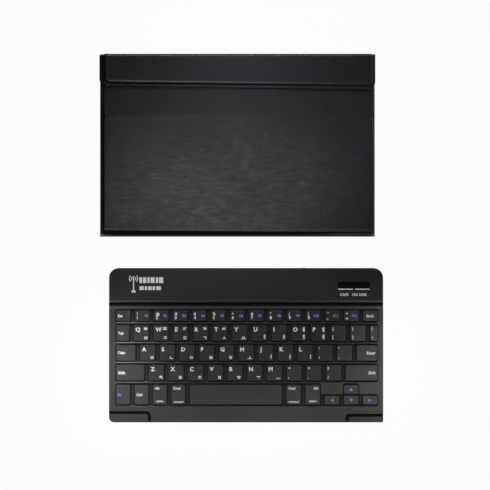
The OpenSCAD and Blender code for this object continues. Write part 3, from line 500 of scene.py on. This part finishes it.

# ---------------------------------------------------------------- front cover
# The front cover rolls up over the spine, and a soft crease runs across it before the far third.
# The crease is pressed, not cut, and pinches the leather a little at both ends.
SPINE_ROLL_R = 5.6 * MM
SPINE_BEAD = 0.75 * MM
SPINE_BEAD_AT = 5.9 * MM
SPINE_SLANT = 1.0 * MM
SPINE_BEAD_W = 1.2 * MM
crease = next(j for j in frame["joints"] if j["name"] == "cover_crease")
CREASE_Y = crease["pos_m"][1]
LOWER_END_Y = CREASE_Y - 9 * MM
FREE_END_Y = upper_hi.y
MARGIN_IN = 5.0 * MM
MARGIN_DEPTH = 0.10 * MM
MARGIN_W = 0.6 * MM
SWELL = 0.6 * MM
SWELL_W = 16 * MM


def bell(distance, width):
    """1 at distance 0, falling to nothing over about two widths."""
    return np.exp(-(distance / width) ** 2)


def smooth_step(value):
    """0 below 0 and 1 above 1, with an even S between."""
    value = np.clip(value, 0, 1)
    return value * value * (3 - 2 * value)


def swell(y):
    """The cover rises a little towards the crease from both sides."""
    return SWELL * np.exp(-np.abs(y - CREASE_Y) / SWELL_W)


points, normals = bent_path((SPINE_Y, MID_HEIGHT), (SPINE_Y, FRONT_MID),
                            (LOWER_END_Y, FRONT_MID), SPINE_ROLL_R, step=0.8 * MM)
cover_y = points[:, 0:1]
roll_y = cover_y - SPINE_Y + PANEL_T / 2


def spine_relief(x, s, inset):
    """A low bead where the cover starts to roll over the spine, and the pressed margin."""
    on_top = normals[:, 1:2] > 0.5
    bead_at = SPINE_BEAD_AT - SPINE_SLANT * x / FRONT_HALF
    bead = SPINE_BEAD * bell(roll_y - bead_at, SPINE_BEAD_W) * on_top
    return bead + swell(cover_y) * on_top - MARGIN_DEPTH * bell(inset - MARGIN_IN, MARGIN_W)


front_skin = band("front_skin", points, normals, np.full(len(points), FRONT_HALF),
                  relief=spine_relief, edges=SOFT_EDGES)
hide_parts("spine_leather", "lower_leather")
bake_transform(front_skin)

# Along the crease runs a low ridge, highest on the left. From there the free third falls
# gently towards the flap, which holds it down.
RIDGE = 0.32 * MM
RIDGE_W = 1.6 * MM
RIDGE_AT = -0.6 * MM
RIDGE_RIGHT = 0.35
CREASE_SAG = 0.8 * MM
FALL = 0.5 * MM
FALL_W = 20 * MM
PINCH_AT = 1.0 * MM
PINCH = 1.0 * MM
PINCH_W = 2.2 * MM

count = int((FREE_END_Y - LOWER_END_Y) / (0.6 * MM))
y = np.linspace(LOWER_END_Y, FREE_END_Y, count)
points = np.stack([y, np.full(count, FRONT_MID)], axis=1)
normals = np.tile([0.0, 1.0], (count, 1))
pinch = PINCH * bell(y - CREASE_Y + PINCH_AT, PINCH_W)


def crease_relief(x, s, inset):
    """The ridge sags a little between its ends and fades to the right; at both ends the
    crease is pinched down."""
    across = x / FRONT_HALF
    at = LOWER_END_Y + s - CREASE_Y - RIDGE_AT + CREASE_SAG * across ** 2
    height = RIDGE * (1 - (1 - RIDGE_RIGHT) * smooth_step(across + 0.3))
    pinched = PINCH * bell(at, PINCH_W) * bell(inset, PINCH_W)
    return height * bell(at, RIDGE_W) + swell(LOWER_END_Y + s) - pinched \
        - FALL * smooth_step(at / FALL_W) - MARGIN_DEPTH * bell(inset - MARGIN_IN, MARGIN_W)


upper_skin = band("upper_skin", points, normals, FRONT_HALF - pinch, relief=crease_relief,
                  ends=("butt", "round"), edges=SOFT_EDGES)
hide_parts("upper_leather")
CREASE_Y - 4 * MM
CREASE_Y + 4 * MM
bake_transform(upper_skin)

# ---------------------------------------------------------------- flap
# The flap wraps over the closing edge and is held shut by magnets. Its board ends short of
# the leather's edge, so that a lower margin with a pressed step runs all round it.
FLAP_FOLD_R = 1.7 * MM
FLAP_BEAD = 0.55 * MM
FLAP_BEAD_AT = 4.9 * MM
FLAP_BEAD_W = 1.3 * MM
FLAP_STEP = 0.40 * MM
FLAP_STEP_AT = 3.4 * MM
FLAP_STEP_W = 1.6 * MM
FLAP_RIM_W = 1.0 * MM
LEFT_MARGIN = 0.68
FLAP_CORNER = 8 * MM
FLAP_LEFT_D = 32.3 * MM
FLAP_RIGHT_D = 36.2 * MM
flap_top_y = STRIP_Y + PANEL_T / 2
flap_mid_edge = flap_top_y - (FLAP_LEFT_D + FLAP_RIGHT_D) / 2
flap_fold_start = STRIP_Y - FLAP_FOLD_R
run_length = flap_fold_start - flap_mid_edge

near_edge = np.array([0, 0.06, 0.16, 0.3, 0.5, 0.75, 1.1]) * MM
fine = np.arange(1.5, 11, 0.4) * MM
coarse = np.linspace(11 * MM, run_length, 18)
flap_run = np.concatenate([near_edge, fine, coarse])
points, normals = bent_path((flap_mid_edge, FLAP_MID), (STRIP_Y, FLAP_MID),
                            (STRIP_Y, (BACK_MID + FLAP_MID) / 2), FLAP_FOLD_R)
past = points[:, 0] >= flap_fold_start - 1e-9
points, normals = points[past], normals[past]
run = np.stack([flap_mid_edge + flap_run[:-1], np.full(len(flap_run) - 1, FLAP_MID)], axis=1)
points = np.vstack([run, points])
normals = np.vstack([np.tile([0.0, 1.0], (len(run), 1)), normals])
distance = run_lengths(points)
round_off = np.clip(FLAP_CORNER - distance, 0, None)
flap_width = BACK_HALF - FLAP_CORNER + np.sqrt(FLAP_CORNER ** 2 - round_off ** 2)


def flap_slant(x, s):
    """Slides the free edge along a slant, deeper on the right, and nothing past the fold."""
    free = np.clip(1 - s / run_length, 0, 1)
    return -(FLAP_RIGHT_D - FLAP_LEFT_D) * (x / (2 * BACK_HALF)) * free


def flap_relief(x, s, inset):
    """A raised bead follows the outline where the board ends, and the leather beyond it lies
    lower. On the left the bead stands further in."""
    side = np.where(x < 0, (BACK_HALF + x) * LEFT_MARGIN, BACK_HALF - x)
    in_x = np.clip(FLAP_CORNER - side, 0, None)
    in_s = np.clip(FLAP_CORNER - s, 0, None)
    rim = np.where((in_x > 0) & (in_s > 0), FLAP_CORNER - np.hypot(in_x, in_s),
                   np.minimum(side, s))
    front = 1 - smooth_step((s - FLAP_BEAD_AT) / FLAP_CORNER)
    across = x / BACK_HALF
    fade = np.where(x < 0, 0.5 + front / 2, front) * (1 - 0.5 * smooth_step(across / 1.1 + 0.1))
    bead = FLAP_BEAD * fade * bell(rim - FLAP_BEAD_AT, FLAP_BEAD_W)
    low = FLAP_STEP * (1 - smooth_step((rim - FLAP_STEP_AT) / FLAP_STEP_W + 0.5))
    return (bead - low) * np.clip(rim / FLAP_RIM_W, 0, 1)


flap_skin = band("flap_skin", points, normals, flap_width, relief=flap_relief,
                 shift=flap_slant, ends=("round", "butt"), edges=SOFT_EDGES)
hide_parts("flap_leather")
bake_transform(flap_skin)

# ---------------------------------------------------------------- inside the case
# Brushed cloth lines the panels, grey board stiffens them, and steel and magnets in the
# board hold the flap and the keyboard.
lining = Finish("case_lining", Roughness=0.95, Sheen_Weight=0.25, Sheen_Roughness=0.6)
nap = lining.noise(2200, detail=4) * 0.6 + lining.noise(300, detail=3) * 0.4
lining.set("Base Color", lining.between(nap, (0.014, 0.014, 0.015), (0.045, 0.045, 0.047)))
lining.bump(nap, 0.00025, 0.8)
dress(lining.material, "back_lining", "spine_lining", "lower_lining")

board = Finish("stiff_board", Roughness=0.9)
fibre = board.noise(900, detail=5, rough=0.7)
board.set("Base Color", board.between(fibre, (0.30, 0.25, 0.18), (0.48, 0.42, 0.32)))
board.bump(fibre, 0.00008)
dress(board.material, "back_board", "spine_board", "lower_board", "upper_board", "strip_board",
      "flap_board")

steel = Finish("steel", Metallic=1.0)
brushed = steel.noise(700, detail=3)
steel.set("Base Color", steel.between(brushed, (0.48, 0.49, 0.51), (0.66, 0.67, 0.69)))
steel.set("Roughness", 0.25 + brushed * 0.2)
dress(steel.material, "back_magnets", "catch_plate", "flap_magnets", "key_plate",
      "keyboard_magnets", "case_screws", "usb_socket")

# ---------------------------------------------------------------- tablet holder and clips
# The holder is one black snap-in moulding with lips at its corners, glued to the front
# cover. Two moulded clips on the back cover hook over the keyboard's front corners.
holder_plastic = grained_plastic("holder_plastic", (0.016, 0.016, 0.017),
                                 (0.026, 0.026, 0.027), roughness=0.48, grain=1800)
dress(holder_plastic, "tablet_shell", "corner_clips")

# ---------------------------------------------------------------- keyboard housing
# Deck and bottom cover are black mouldings with a fine spark-eroded grain. The raised bar
# at the rear holds the cell and the electronics.
deck_lo, deck_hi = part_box("deck")
WALL_SKIN = 0.2 * MM
BAR_GROOVE = (deck_hi.y - 38.1 * MM, deck_hi.y - 34.4 * MM)
BAR_GROOVE_TOP = 4.4 * MM
LAND_GROOVE_Y = deck_lo.y + 12 * MM
LAND_GROOVE_TOP = 3.5 * MM
BAR_LIP = (deck_hi.y - 34.6 * MM, deck_hi.y - 32.4 * MM)
KEY_LIP = (deck_hi.y - 41.0 * MM, deck_hi.y - 38.0 * MM)
LIP_HEIGHT = 1.2 * MM
BAR_HIGHLIGHT = (330, 0.6)
KEY_HIGHLIGHT = (150, 0.8)

deck_plastic = Finish("keyboard_plastic", Specular_IOR_Level=0.35)
fine = deck_plastic.noise(2400, detail=3)
slow = deck_plastic.noise(30)
x, y, z = (deck_plastic.node("ShaderNodeSeparateXYZ", out=i, Vector=deck_plastic.place)
           for i in range(3))
# In the grooves at the bar and round the front lands the plastic is rougher, and its colour is
# painted darkest as painted shade.
bar_groove = (y > BAR_GROOVE[0]) * (y < BAR_GROOVE[1]) * (z < BAR_GROOVE_TOP)
land_groove = (y < LAND_GROOVE_Y) * (z < LAND_GROOVE_TOP)
inside = (x > deck_lo.x + WALL_SKIN) * (x < deck_hi.x - WALL_SKIN)
coarse = bar_groove.at_least(land_groove) * inside * (z > deck_lo.z + WALL_SKIN)
# Painted highlights: the colour is lighter along the bar's front edge and along the deck strip
# between the bar's groove and the first row of keys, more so towards both ends.
bar_lip = (y > BAR_LIP[0]) * (y < BAR_LIP[1]) * (z > deck_hi.z - LIP_HEIGHT)
key_lip = (y > KEY_LIP[0]) * (y < KEY_LIP[1]) * inside * (1 - coarse)
painted_highlight = bar_lip * (x * x * BAR_HIGHLIGHT[0] + BAR_HIGHLIGHT[1]) \
    + key_lip * (x * x * KEY_HIGHLIGHT[0] + KEY_HIGHLIGHT[1])
tone = (slow * 0.7 + fine * 0.3) * (1 - coarse) + painted_highlight
on_bar = y > BAR_LIP[0]
deck_plastic.set("Base Color", deck_plastic.between(tone, (0.0030, 0.0030, 0.0031),
                                                    (0.0165, 0.0165, 0.0167)))
deck_plastic.set("Roughness", 0.31 + slow * 0.1 + coarse * 0.55 + on_bar * 0.12)
deck_plastic.bump(fine, 0.00002)
dress(deck_plastic.material, "deck")
cover_plastic = grained_plastic("cover_plastic", (0.0090, 0.0090, 0.0092),
                                (0.0150, 0.0150, 0.0152), roughness=0.36, grain=2400)
dress(cover_plastic, "bottom_cover")

switch_plastic = grained_plastic("switch_plastic", (0.03, 0.03, 0.031), (0.05, 0.05, 0.052))
dress(switch_plastic, "power_switch", "power_slider", "connect_button")
foot_rubber = grained_plastic("foot_rubber", (0.014, 0.014, 0.014), (0.03, 0.03, 0.03),
                              roughness=0.8, grain=900, depth=0.00005)
dress(foot_rubber, "rubber_feet")

# ---------------------------------------------------------------- inside the keyboard
# Under the keys lie a black film, silicone domes and folding frames on a steel plate; the
# bar holds a green circuit board and a foil cell.
film = grained_plastic("membrane_film", (0.010, 0.010, 0.010), (0.016, 0.016, 0.016),
                       roughness=0.6)
dress(film, "membrane")
silicone = grained_plastic("dome_rubber", (0.45, 0.45, 0.42), (0.6, 0.6, 0.57), roughness=0.6)
frames = grained_plastic("scissor_plastic", (0.018, 0.018, 0.018), (0.030, 0.030, 0.030))

laminate = Finish("board_laminate", Roughness=0.3, Coat_Weight=0.3)
tracks = laminate.node("ShaderNodeTexBrick", out=1, Vector=laminate.place, Scale=220.0)
laminate.set("Base Color", laminate.between(tracks, (0.02, 0.12, 0.045), (0.05, 0.22, 0.09)))
dress(laminate.material, "circuit_board")

foil = Finish("cell_foil", Metallic=1.0)
crinkle = foil.noise(260, detail=4)
foil.set("Base Color", foil.between(crinkle, (0.5, 0.51, 0.53), (0.7, 0.71, 0.73)))
foil.set("Roughness", 0.35 + crinkle * 0.2)
foil.bump(crinkle, 0.0003, 0.6)
dress(foil.material, "battery")

# ---------------------------------------------------------------- indicator window
# A smoked glossy window sits flush in the bar over two lamps.
window = Finish("window_plastic")
smoke = window.noise(120)
window.set("Base Color", window.between(smoke, (0.003, 0.003, 0.004), (0.007, 0.007, 0.009)))
window.set("Roughness", 0.04 + smoke * 0.04)
dress(window.material, "indicator_window")

lamp = Finish("lamp_plastic", Roughness=0.25, Emission_Strength=0.6)
core = lamp.noise(900)
lamp.set("Base Color", lamp.between(core, (0.65, 0.75, 0.9), (0.8, 0.88, 1.0)))
lamp.set("Emission Color", lamp.between(core, (0.6, 0.75, 1.0), (0.8, 0.9, 1.0)))
dress(lamp.material, "indicator_leds")

# ---------------------------------------------------------------- keycaps
# Each keycap is a hollow moulding with soft upper edges and a barely dished top. Every cap
# is lofted from rounded rectangles: from its foot up the wall, over the edge, and inwards.
keycap_plastic = grained_plastic("keycap_plastic", (0.0085, 0.0085, 0.0086),
                                 (0.0140, 0.0140, 0.0142), roughness=0.35, grain=2200,
                                 depth=0.00003)
CAP_R = 1.5 * MM
CAP_EDGE = 0.55 * MM
CAP_WALL = 0.8 * MM
CORNER_STEPS = 5

corner = np.repeat([0, 1, 2, 3], CORNER_STEPS)
turn = np.radians(90 * corner + np.tile(np.linspace(0, 90, CORNER_STEPS), 4))
corner_x = np.array([1, -1, -1, 1])[corner]
corner_y = np.array([1, 1, -1, -1])[corner]


def islands(node):
    """Points and faces of each separate solid in a CAD node, from left to right."""
    shape = bmesh.new()
    shape.from_mesh(frame["nodes"][node].data)
    bmesh.ops.remove_doubles(shape, verts=shape.verts, dist=1e-6)
    shape.verts.ensure_lookup_table()
    seen, parts = set(), []
    for first in shape.verts:
        if first.index in seen:
            continue
        place, heap = {first.index: 0}, [first]
        while heap:
            for edge in heap.pop().link_edges:
                for other in edge.verts:
                    if other.index not in place:
                        place[other.index] = len(place)
                        heap.append(other)
        seen.update(place)
        points = np.array([shape.verts[i].co[:] for i in place])
        faces = {face for i in place for face in shape.verts[i].link_faces}
        parts.append((points, [[place[v.index] for v in face.verts] for face in faces]))
    shape.free()
    return sorted(parts, key=lambda part: part[0][:, 0].min())


def cap_rings(height):
    """(inset, corner radius, height) of each ring of a cap, from the foot round to the
    hollow underneath: a quarter round of CAP_EDGE joins the wall to the top."""
    lean = 0.15 * MM
    rings = [(0, CAP_R, 0), (lean, CAP_R, height - CAP_EDGE)]
    for a in np.radians([22, 45, 68, 90]):
        rings.append((lean + CAP_EDGE * (1 - math.cos(a)), CAP_R - 0.3 * MM * a,
                      height - CAP_EDGE * (1 - math.sin(a))))
    rings.append((lean + 1.6 * MM, 0.7 * MM, height - 0.03 * MM))
    rings.append((lean + 3.0 * MM, 0.6 * MM, height - 0.07 * MM))
    hollow = [(CAP_WALL + 2.4 * MM, 0.5 * MM, height - CAP_WALL),
              (CAP_WALL, CAP_R - CAP_WALL, height - CAP_WALL), (CAP_WALL, CAP_R - CAP_WALL, 0)]
    return rings, hollow


def make_cap(low, high):
    """Points and faces of one cap that fills the box."""
    rings, hollow = cap_rings(high[2] - low[2])
    middle = (low + high) / 2
    half_x, half_y = (high[0] - low[0]) / 2, (high[1] - low[1]) / 2
    loops = []
    for inset, radius, height in rings + hollow:
        x = middle[0] + corner_x * (half_x - inset - radius) + radius * np.cos(turn)
        y = middle[1] + corner_y * (half_y - inset - radius) + radius * np.sin(turn)
        loops.append(np.stack([x, y, np.full(len(x), low[2] + height)], axis=1))
    n = len(turn)
    faces = []

    def skin(a, b):
        faces.extend([[a * n + i, a * n + (i + 1) % n, b * n + (i + 1) % n, b * n + i]
                      for i in range(n)])

    outer = len(rings)
    for a in range(outer - 1):
        skin(a, a + 1)
    faces.append([(outer - 1) * n + i for i in range(n)])
    faces.append([outer * n + i for i in range(n)][::-1])
    for a in range(outer, outer + 2):
        skin(a, a + 1)
    skin(outer + 2, 0)
    return np.vstack(loops), faces


def gather(pieces):
    """Joins (points, faces) pairs into one."""
    verts, faces, base = [], [], 0
    for points, polygons in pieces:
        verts.append(points)
        faces.extend([[base + i for i in polygon] for polygon in polygons])
        base += len(points)
    return np.vstack(verts), faces


def homing_bar(low, high):
    """The small raised bar near the front of the F and J caps."""
    x = (low[0] + high[0]) / 2
    y = low[1] + HOMING_IN
    rings = []
    for shrink, z in ((0, high[2] - CAP_EDGE), (0, high[2] + 0.12 * MM), (0.25 * MM, HOMING_TOP)):
        half_x, half_y = HOMING_W / 2 - shrink, HOMING_D / 2 - shrink
        rings.append([(x - half_x, y - half_y, z), (x + half_x, y - half_y, z),
                      (x + half_x, y + half_y, z), (x - half_x, y + half_y, z)])
    faces = [[3, 2, 1, 0], [8, 9, 10, 11]]
    for a in (0, 4):
        faces += [[a + i, a + (i + 1) % 4, a + 4 + (i + 1) % 4, a + 4 + i] for i in range(4)]
    return np.array(rings).reshape(-1, 3), faces


CAP_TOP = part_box("upper_keys")[1].z
HOMING_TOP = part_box("home_keys")[1].z
HOMING_KEYS = (3, 6)
HOMING_IN = 3.0 * MM
HOMING_W = 3.6 * MM
HOMING_D = 0.9 * MM
KEY_BODIES = [body for body in frame["bodies"]
              if body.startswith("key_") or body.endswith("_keys")]
cap_boxes = {}
for body in KEY_BODIES:
    cap_boxes[body] = [(points.min(0), np.array([*points.max(0)[:2], CAP_TOP]))
                       for points, faces in islands(body)]
    pieces = [make_cap(low, high) for low, high in cap_boxes[body]]
    if body == "home_keys":
        pieces += [homing_bar(*cap_boxes[body][i]) for i in HOMING_KEYS]
    verts, faces = gather(pieces)
    caps = solid(body + "_caps", verts, faces, keycap_plastic, smooth_angle=50)
    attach(caps, body)
    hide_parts(body)

# ---------------------------------------------------------------- domes and frames
# Under each cap stand a silicone dome and two crossed frames, with the CAD's own shape. Those under
# each body of keys make a piece of their own, fixed to the keyboard.
for node, material, slot in (("rubber_domes", silicone, "dome_rubber"),
                             ("scissor_frames", frames, "scissor_plastic")):
    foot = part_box(node)[0].z
    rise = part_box(node)[1].z - foot
    parts = [(points, faces, (points.min(0) + points.max(0)) / 2)
             for points, faces in islands(node)]
    for body in KEY_BODIES:
        travel = next(j for j in frame["joints"] if j["name"] == body + "_press")["range_m"]
        own = [(points, faces) for points, faces, middle in parts
               if any((low[:2] < middle[:2]).all() and (middle[:2] < high[:2]).all()
                      for low, high in cap_boxes[body])]
        verts, faces = gather(own)
        piece = solid(body + "_" + node, verts, faces, material, smooth_angle=30)
        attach(piece, "keyboard")
        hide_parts(node)
        body + "_press"
        1 - max(map(abs, travel)) / rise
        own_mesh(piece)

# ---------------------------------------------------------------- legends
# Legends are printed on the caps in pale ink, a letter at the upper left and a second glyph
# at the lower right; the functions and the arrows are in blue.
pale_ink = Finish("pale_ink", Roughness=0.6)
speck = pale_ink.noise(3000)
pale_ink.set("Base Color", pale_ink.between(speck, (0.78, 0.78, 0.78), (0.90, 0.90, 0.90)))
pale_ink = pale_ink.material
blue_ink = Finish("blue_ink", Roughness=0.6)
speck = blue_ink.noise(3000)
blue_ink.set("Base Color", blue_ink.between(speck, (0.20, 0.24, 0.70), (0.30, 0.34, 0.86)))
blue_ink = blue_ink.material

INK_RISE = 0.03 * MM
INK_SINK = 0.10 * MM
BOLD = 0.042
glyph_cache = {}


def glyph(text):
    """Points, faces and box of a text one unit high, as a thin solid."""
    if text not in glyph_cache:
        curve = bpy.data.curves.new("glyph", "FONT")
        curve.body = text
        curve.offset = BOLD
        curve.resolution_u = 3
        curve.extrude = 0.5
        letter = bpy.data.objects.new("glyph", curve)
        bpy.context.scene.collection.objects.link(letter)
        bpy.context.view_layer.update()
        shown = letter.evaluated_get(bpy.context.evaluated_depsgraph_get())
        mesh = shown.to_mesh()
        points = np.array([v.co for v in mesh.vertices])
        polygons = [list(p.vertices) for p in mesh.polygons]
        shown.to_mesh_clear()
        bpy.data.objects.remove(letter)
        bpy.data.curves.remove(curve)
        glyph_cache[text] = (points, polygons, points.min(0), points.max(0))
    return glyph_cache[text]


def print_glyph(text, x, y, z, size, anchor=(0, 0)):
    """A glyph of the size at a place: anchor -1, 0 or 1 says which side of it is there."""
    points, polygons, low, high = glyph(text)
    span = (high - low)[:2] * size
    placed = np.empty_like(points)
    placed[:, :2] = (points[:, :2] - low[:2]) * size - span * (np.array(anchor) + 1) / 2
    placed[:, 0] += x
    placed[:, 1] += y
    placed[:, 2] = np.where(points[:, 2] > 0, z + INK_RISE, z - INK_SINK)
    return placed, polygons


def label(name, prints, body):
    """One mesh of all the prints on a body: (points, faces, ink) each, ink 0 pale or 1 blue."""
    if not prints:
        return
    verts, faces = gather([(p, f) for p, f, ink in prints])
    inks = [ink for p, f, ink in prints for _ in f]
    mesh = bpy.data.meshes.new(name)
    mesh.from_pydata(verts.tolist(), [], faces)
    mesh.materials.append(pale_ink)
    mesh.materials.append(blue_ink)
    mesh.polygons.foreach_set("material_index", inks)
    piece = bpy.data.objects.new(name, mesh)
    bpy.context.scene.collection.objects.link(piece)
    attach(piece, body)


LETTER = 5.6 * MM
SECOND = 4.8 * MM
SMALL = 3.7 * MM
IN_X = 2.3 * MM
IN_Y = 2.3 * MM


def cap_prints(box, legends):
    """legends is [(text, where, size, ink)]: where is a pair of -1, 0 or 1 across the cap."""
    low, high = box
    out = []
    for text, (side, up), size, ink in legends:
        x = (low[0] + high[0]) / 2 + side * ((high[0] - low[0]) / 2 - IN_X)
        y = (low[1] + high[1]) / 2 + up * ((high[1] - low[1]) / 2 - IN_Y)
        out.append((*print_glyph(text, x, y, high[2] - 0.05 * MM, size, (side, up)), ink))
    return out


UPPER_LEFT, LOWER_RIGHT, UPPER_RIGHT, LOWER_LEFT = (-1, 1), (1, -1), (1, 1), (-1, -1)
MIDDLE, MIDDLE_LEFT, MIDDLE_RIGHT, LOW_MIDDLE = (0, 0), (-1, 0), (1, 0), (0, -1)


def letter_legends(letters, seconds, thirds):
    """A row of keys with a letter each and, where there is one, a second and third glyph."""
    rows = []
    for letter, second, third in zip(letters, seconds, thirds):
        legends = [(letter, UPPER_LEFT, LETTER, 0)]
        if second != " ":
            legends.append((second, LOWER_RIGHT, SECOND, 0))
        if third != " ":
            legends.append((third, UPPER_RIGHT, SECOND, 0))
        rows.append(legends)
    return rows


def sign_legends(pairs):
    """A key with one sign above another, both on the left."""
    return [[(upper, UPPER_LEFT, SMALL, 0), (lower, LOWER_LEFT, SMALL, 0)]
            for upper, lower in pairs]


NUMBER_SIGNS = list(zip("!@#$%^&*()_+", "1234567890-="))
number_rows = [[(upper, UPPER_LEFT, SMALL, 0), (lower, LOWER_LEFT, SMALL * 1.1, 0),
                ("F%d" % (i + 1), MIDDLE_RIGHT, SMALL * 0.95, 1)]
               for i, (upper, lower) in enumerate(NUMBER_SIGNS)]

LEGENDS = {
    "key_escape": [[("Esc", MIDDLE_LEFT, SMALL, 0), ("`", UPPER_RIGHT, SMALL, 1)]],
    "number_keys": number_rows,
    "key_backspace": [[("Back", MIDDLE, SMALL, 0)]],
    "key_tab": [[("Tab", MIDDLE_LEFT, SMALL, 0)]],
    "upper_keys": letter_legends("QWERTYUIOP", "ㅂㅈㄷㄱㅅㅛㅕㅑㅐㅔ", "ㅃㅉㄸㄲㅆ   ㅒㅖ")
    + sign_legends(["{[", "}]"]),
    "key_backslash": sign_legends(["|\\"]),
    "key_caps_lock": [[("Caps", MIDDLE_LEFT, SMALL, 0)]],
    "home_keys": letter_legends("ASDFGHJKL", "ㅁㄴㅇㄹㅎㅗㅓㅏㅣ", " " * 9)
    + sign_legends([":;", "\"'"]),
    "key_enter": [[("Enter", MIDDLE_RIGHT, SMALL * 1.1, 0)]],
    "key_shift_left": [[("Shift", MIDDLE_LEFT, SMALL * 1.1, 0)]],
    "lower_keys": letter_legends("ZXCVBNM", "ㅋㅌㅊㅍㅠㅜㅡ", " " * 7)
    + sign_legends(["<,", ">.", "?/"]),
    "key_shift_right": [[("Shift", MIDDLE_RIGHT, SMALL * 1.1, 0)]],
    "key_function": [[("Fn", MIDDLE_LEFT, SMALL, 1)]],
    "key_control": [[("Ctrl", MIDDLE_LEFT, SMALL, 0)]],
    "key_option": [[("Alt", UPPER_LEFT, SMALL, 0), ("option", LOW_MIDDLE, SMALL * 0.75, 0)]],
    "key_command": [[("Cmd", UPPER_LEFT, SMALL, 0), ("command", LOW_MIDDLE, SMALL * 0.68, 0)]],
    "key_space": [],
    "key_command_right": [[("Cmd", UPPER_LEFT, SMALL, 0),
                           ("command", LOW_MIDDLE, SMALL * 0.7, 0)]],
    "key_option_right": [[("Alt", UPPER_RIGHT, SMALL, 0),
                          ("option", LOW_MIDDLE, SMALL * 0.8, 0)]],
    "key_left": [[("◀", MIDDLE, SMALL, 1)]],
    "key_up": [[("▲", MIDDLE, SMALL, 1)]],
    "key_down": [[("▼", MIDDLE, SMALL, 1)]],
    "key_right": [[("▶", MIDDLE, SMALL, 1)]],
}
for body, rows in LEGENDS.items():
    prints = []
    for box, legends in zip(cap_boxes[body], rows):
        prints += cap_prints(box, legends)
    label(body + "_legend", prints, body)

# ---------------------------------------------------------------- marks on the bar
# Plain printed marks: on the left of the bar a mast with two waves on each side, for the
# radio link, beside two rows of dashes; a line and a small word under each end of the window.
window_lo, window_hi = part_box("indicator_window")
MARK_Z = deck_hi.z


def printed_bar(x0, y0, x1, y1):
    """A thin printed rectangle between two corners, in metres from the deck's rear left."""
    x0, x1 = deck_lo.x + x0 * MM, deck_lo.x + x1 * MM
    y0, y1 = deck_hi.y - y0 * MM, deck_hi.y - y1 * MM
    low, high = MARK_Z - INK_SINK, MARK_Z + INK_RISE
    points = np.array([(x, y, z) for z in (low, high) for x, y in
                       ((x0, y1), (x1, y1), (x1, y0), (x0, y0))])
    return points, [[3, 2, 1, 0], [4, 5, 6, 7], [0, 1, 5, 4], [1, 2, 6, 5], [2, 3, 7, 6],
                    [3, 0, 4, 7]], 0


def printed_arc(x, y, radius, width, start, stop, steps=12):
    """A thin printed arc: an inner and an outer circle between two angles in degrees."""
    angle = np.radians(np.linspace(start, stop, steps + 1))
    cx, cy = deck_lo.x + x * MM, deck_hi.y - y * MM
    rings = []
    for z in (MARK_Z - INK_SINK, MARK_Z + INK_RISE):
        for r in (radius - width / 2, radius + width / 2):
            rings.append(np.stack([cx + r * MM * np.cos(angle), cy + r * MM * np.sin(angle),
                                   np.full(len(angle), z)], axis=1))
    n = len(angle)
    faces = []
    for i in range(steps):
        a, b = i, i + 1
        faces += [[a, b, n + b, n + a], [2 * n + a, 3 * n + a, 3 * n + b, 2 * n + b],
                  [a, 2 * n + a, 2 * n + b, b], [n + a, n + b, 3 * n + b, 3 * n + a]]
    faces += [[0, n, 3 * n, 2 * n], [n - 1, 3 * n - 1, 4 * n - 1, 2 * n - 1]]
    return np.vstack(rings), faces, 0


marks = [printed_bar(24.0, 8.0, 25.2, 22.5), printed_bar(22.6, 22.5, 26.6, 24.5)]
marks += [printed_arc(24.6, 10.5, radius, 0.9, *sweep) for radius in (2.2, 4.2)
          for sweep in ((-45, 45), (135, 225))]
dashes = [(30.5, 2.6), (34.0, 3.4), (38.4, 2.2), (41.6, 4.0), (46.8, 2.4), (50.0, 4.2)]
marks += [printed_bar(at, 9.2, at + span, 15.0) for at, span in dashes]
marks += [printed_bar(at, 18.2, at + span, 22.0) for at, span in
          ((30.5, 4.4), (35.8, 2.4), (39.2, 3.6), (43.6, 2.6), (47.2, 4.8))]
window_left = (window_lo.x - deck_lo.x) / MM
window_right = (window_hi.x - deck_lo.x) / MM
marks += [printed_bar(window_left + 0.5, 20.6, window_left + 15, 21.7),
          printed_bar(window_right - 15, 20.6, window_right - 0.5, 21.7)]
for text, x in (("CAPS", window_left + 6.5), ("ON", window_left + 17), ("LINK", window_right - 7)):
    marks.append((*print_glyph(text, deck_lo.x + x * MM, deck_hi.y - 26.6 * MM, MARK_Z, 3.6 * MM),
                  0))
label("bar_marks", marks, "keyboard")
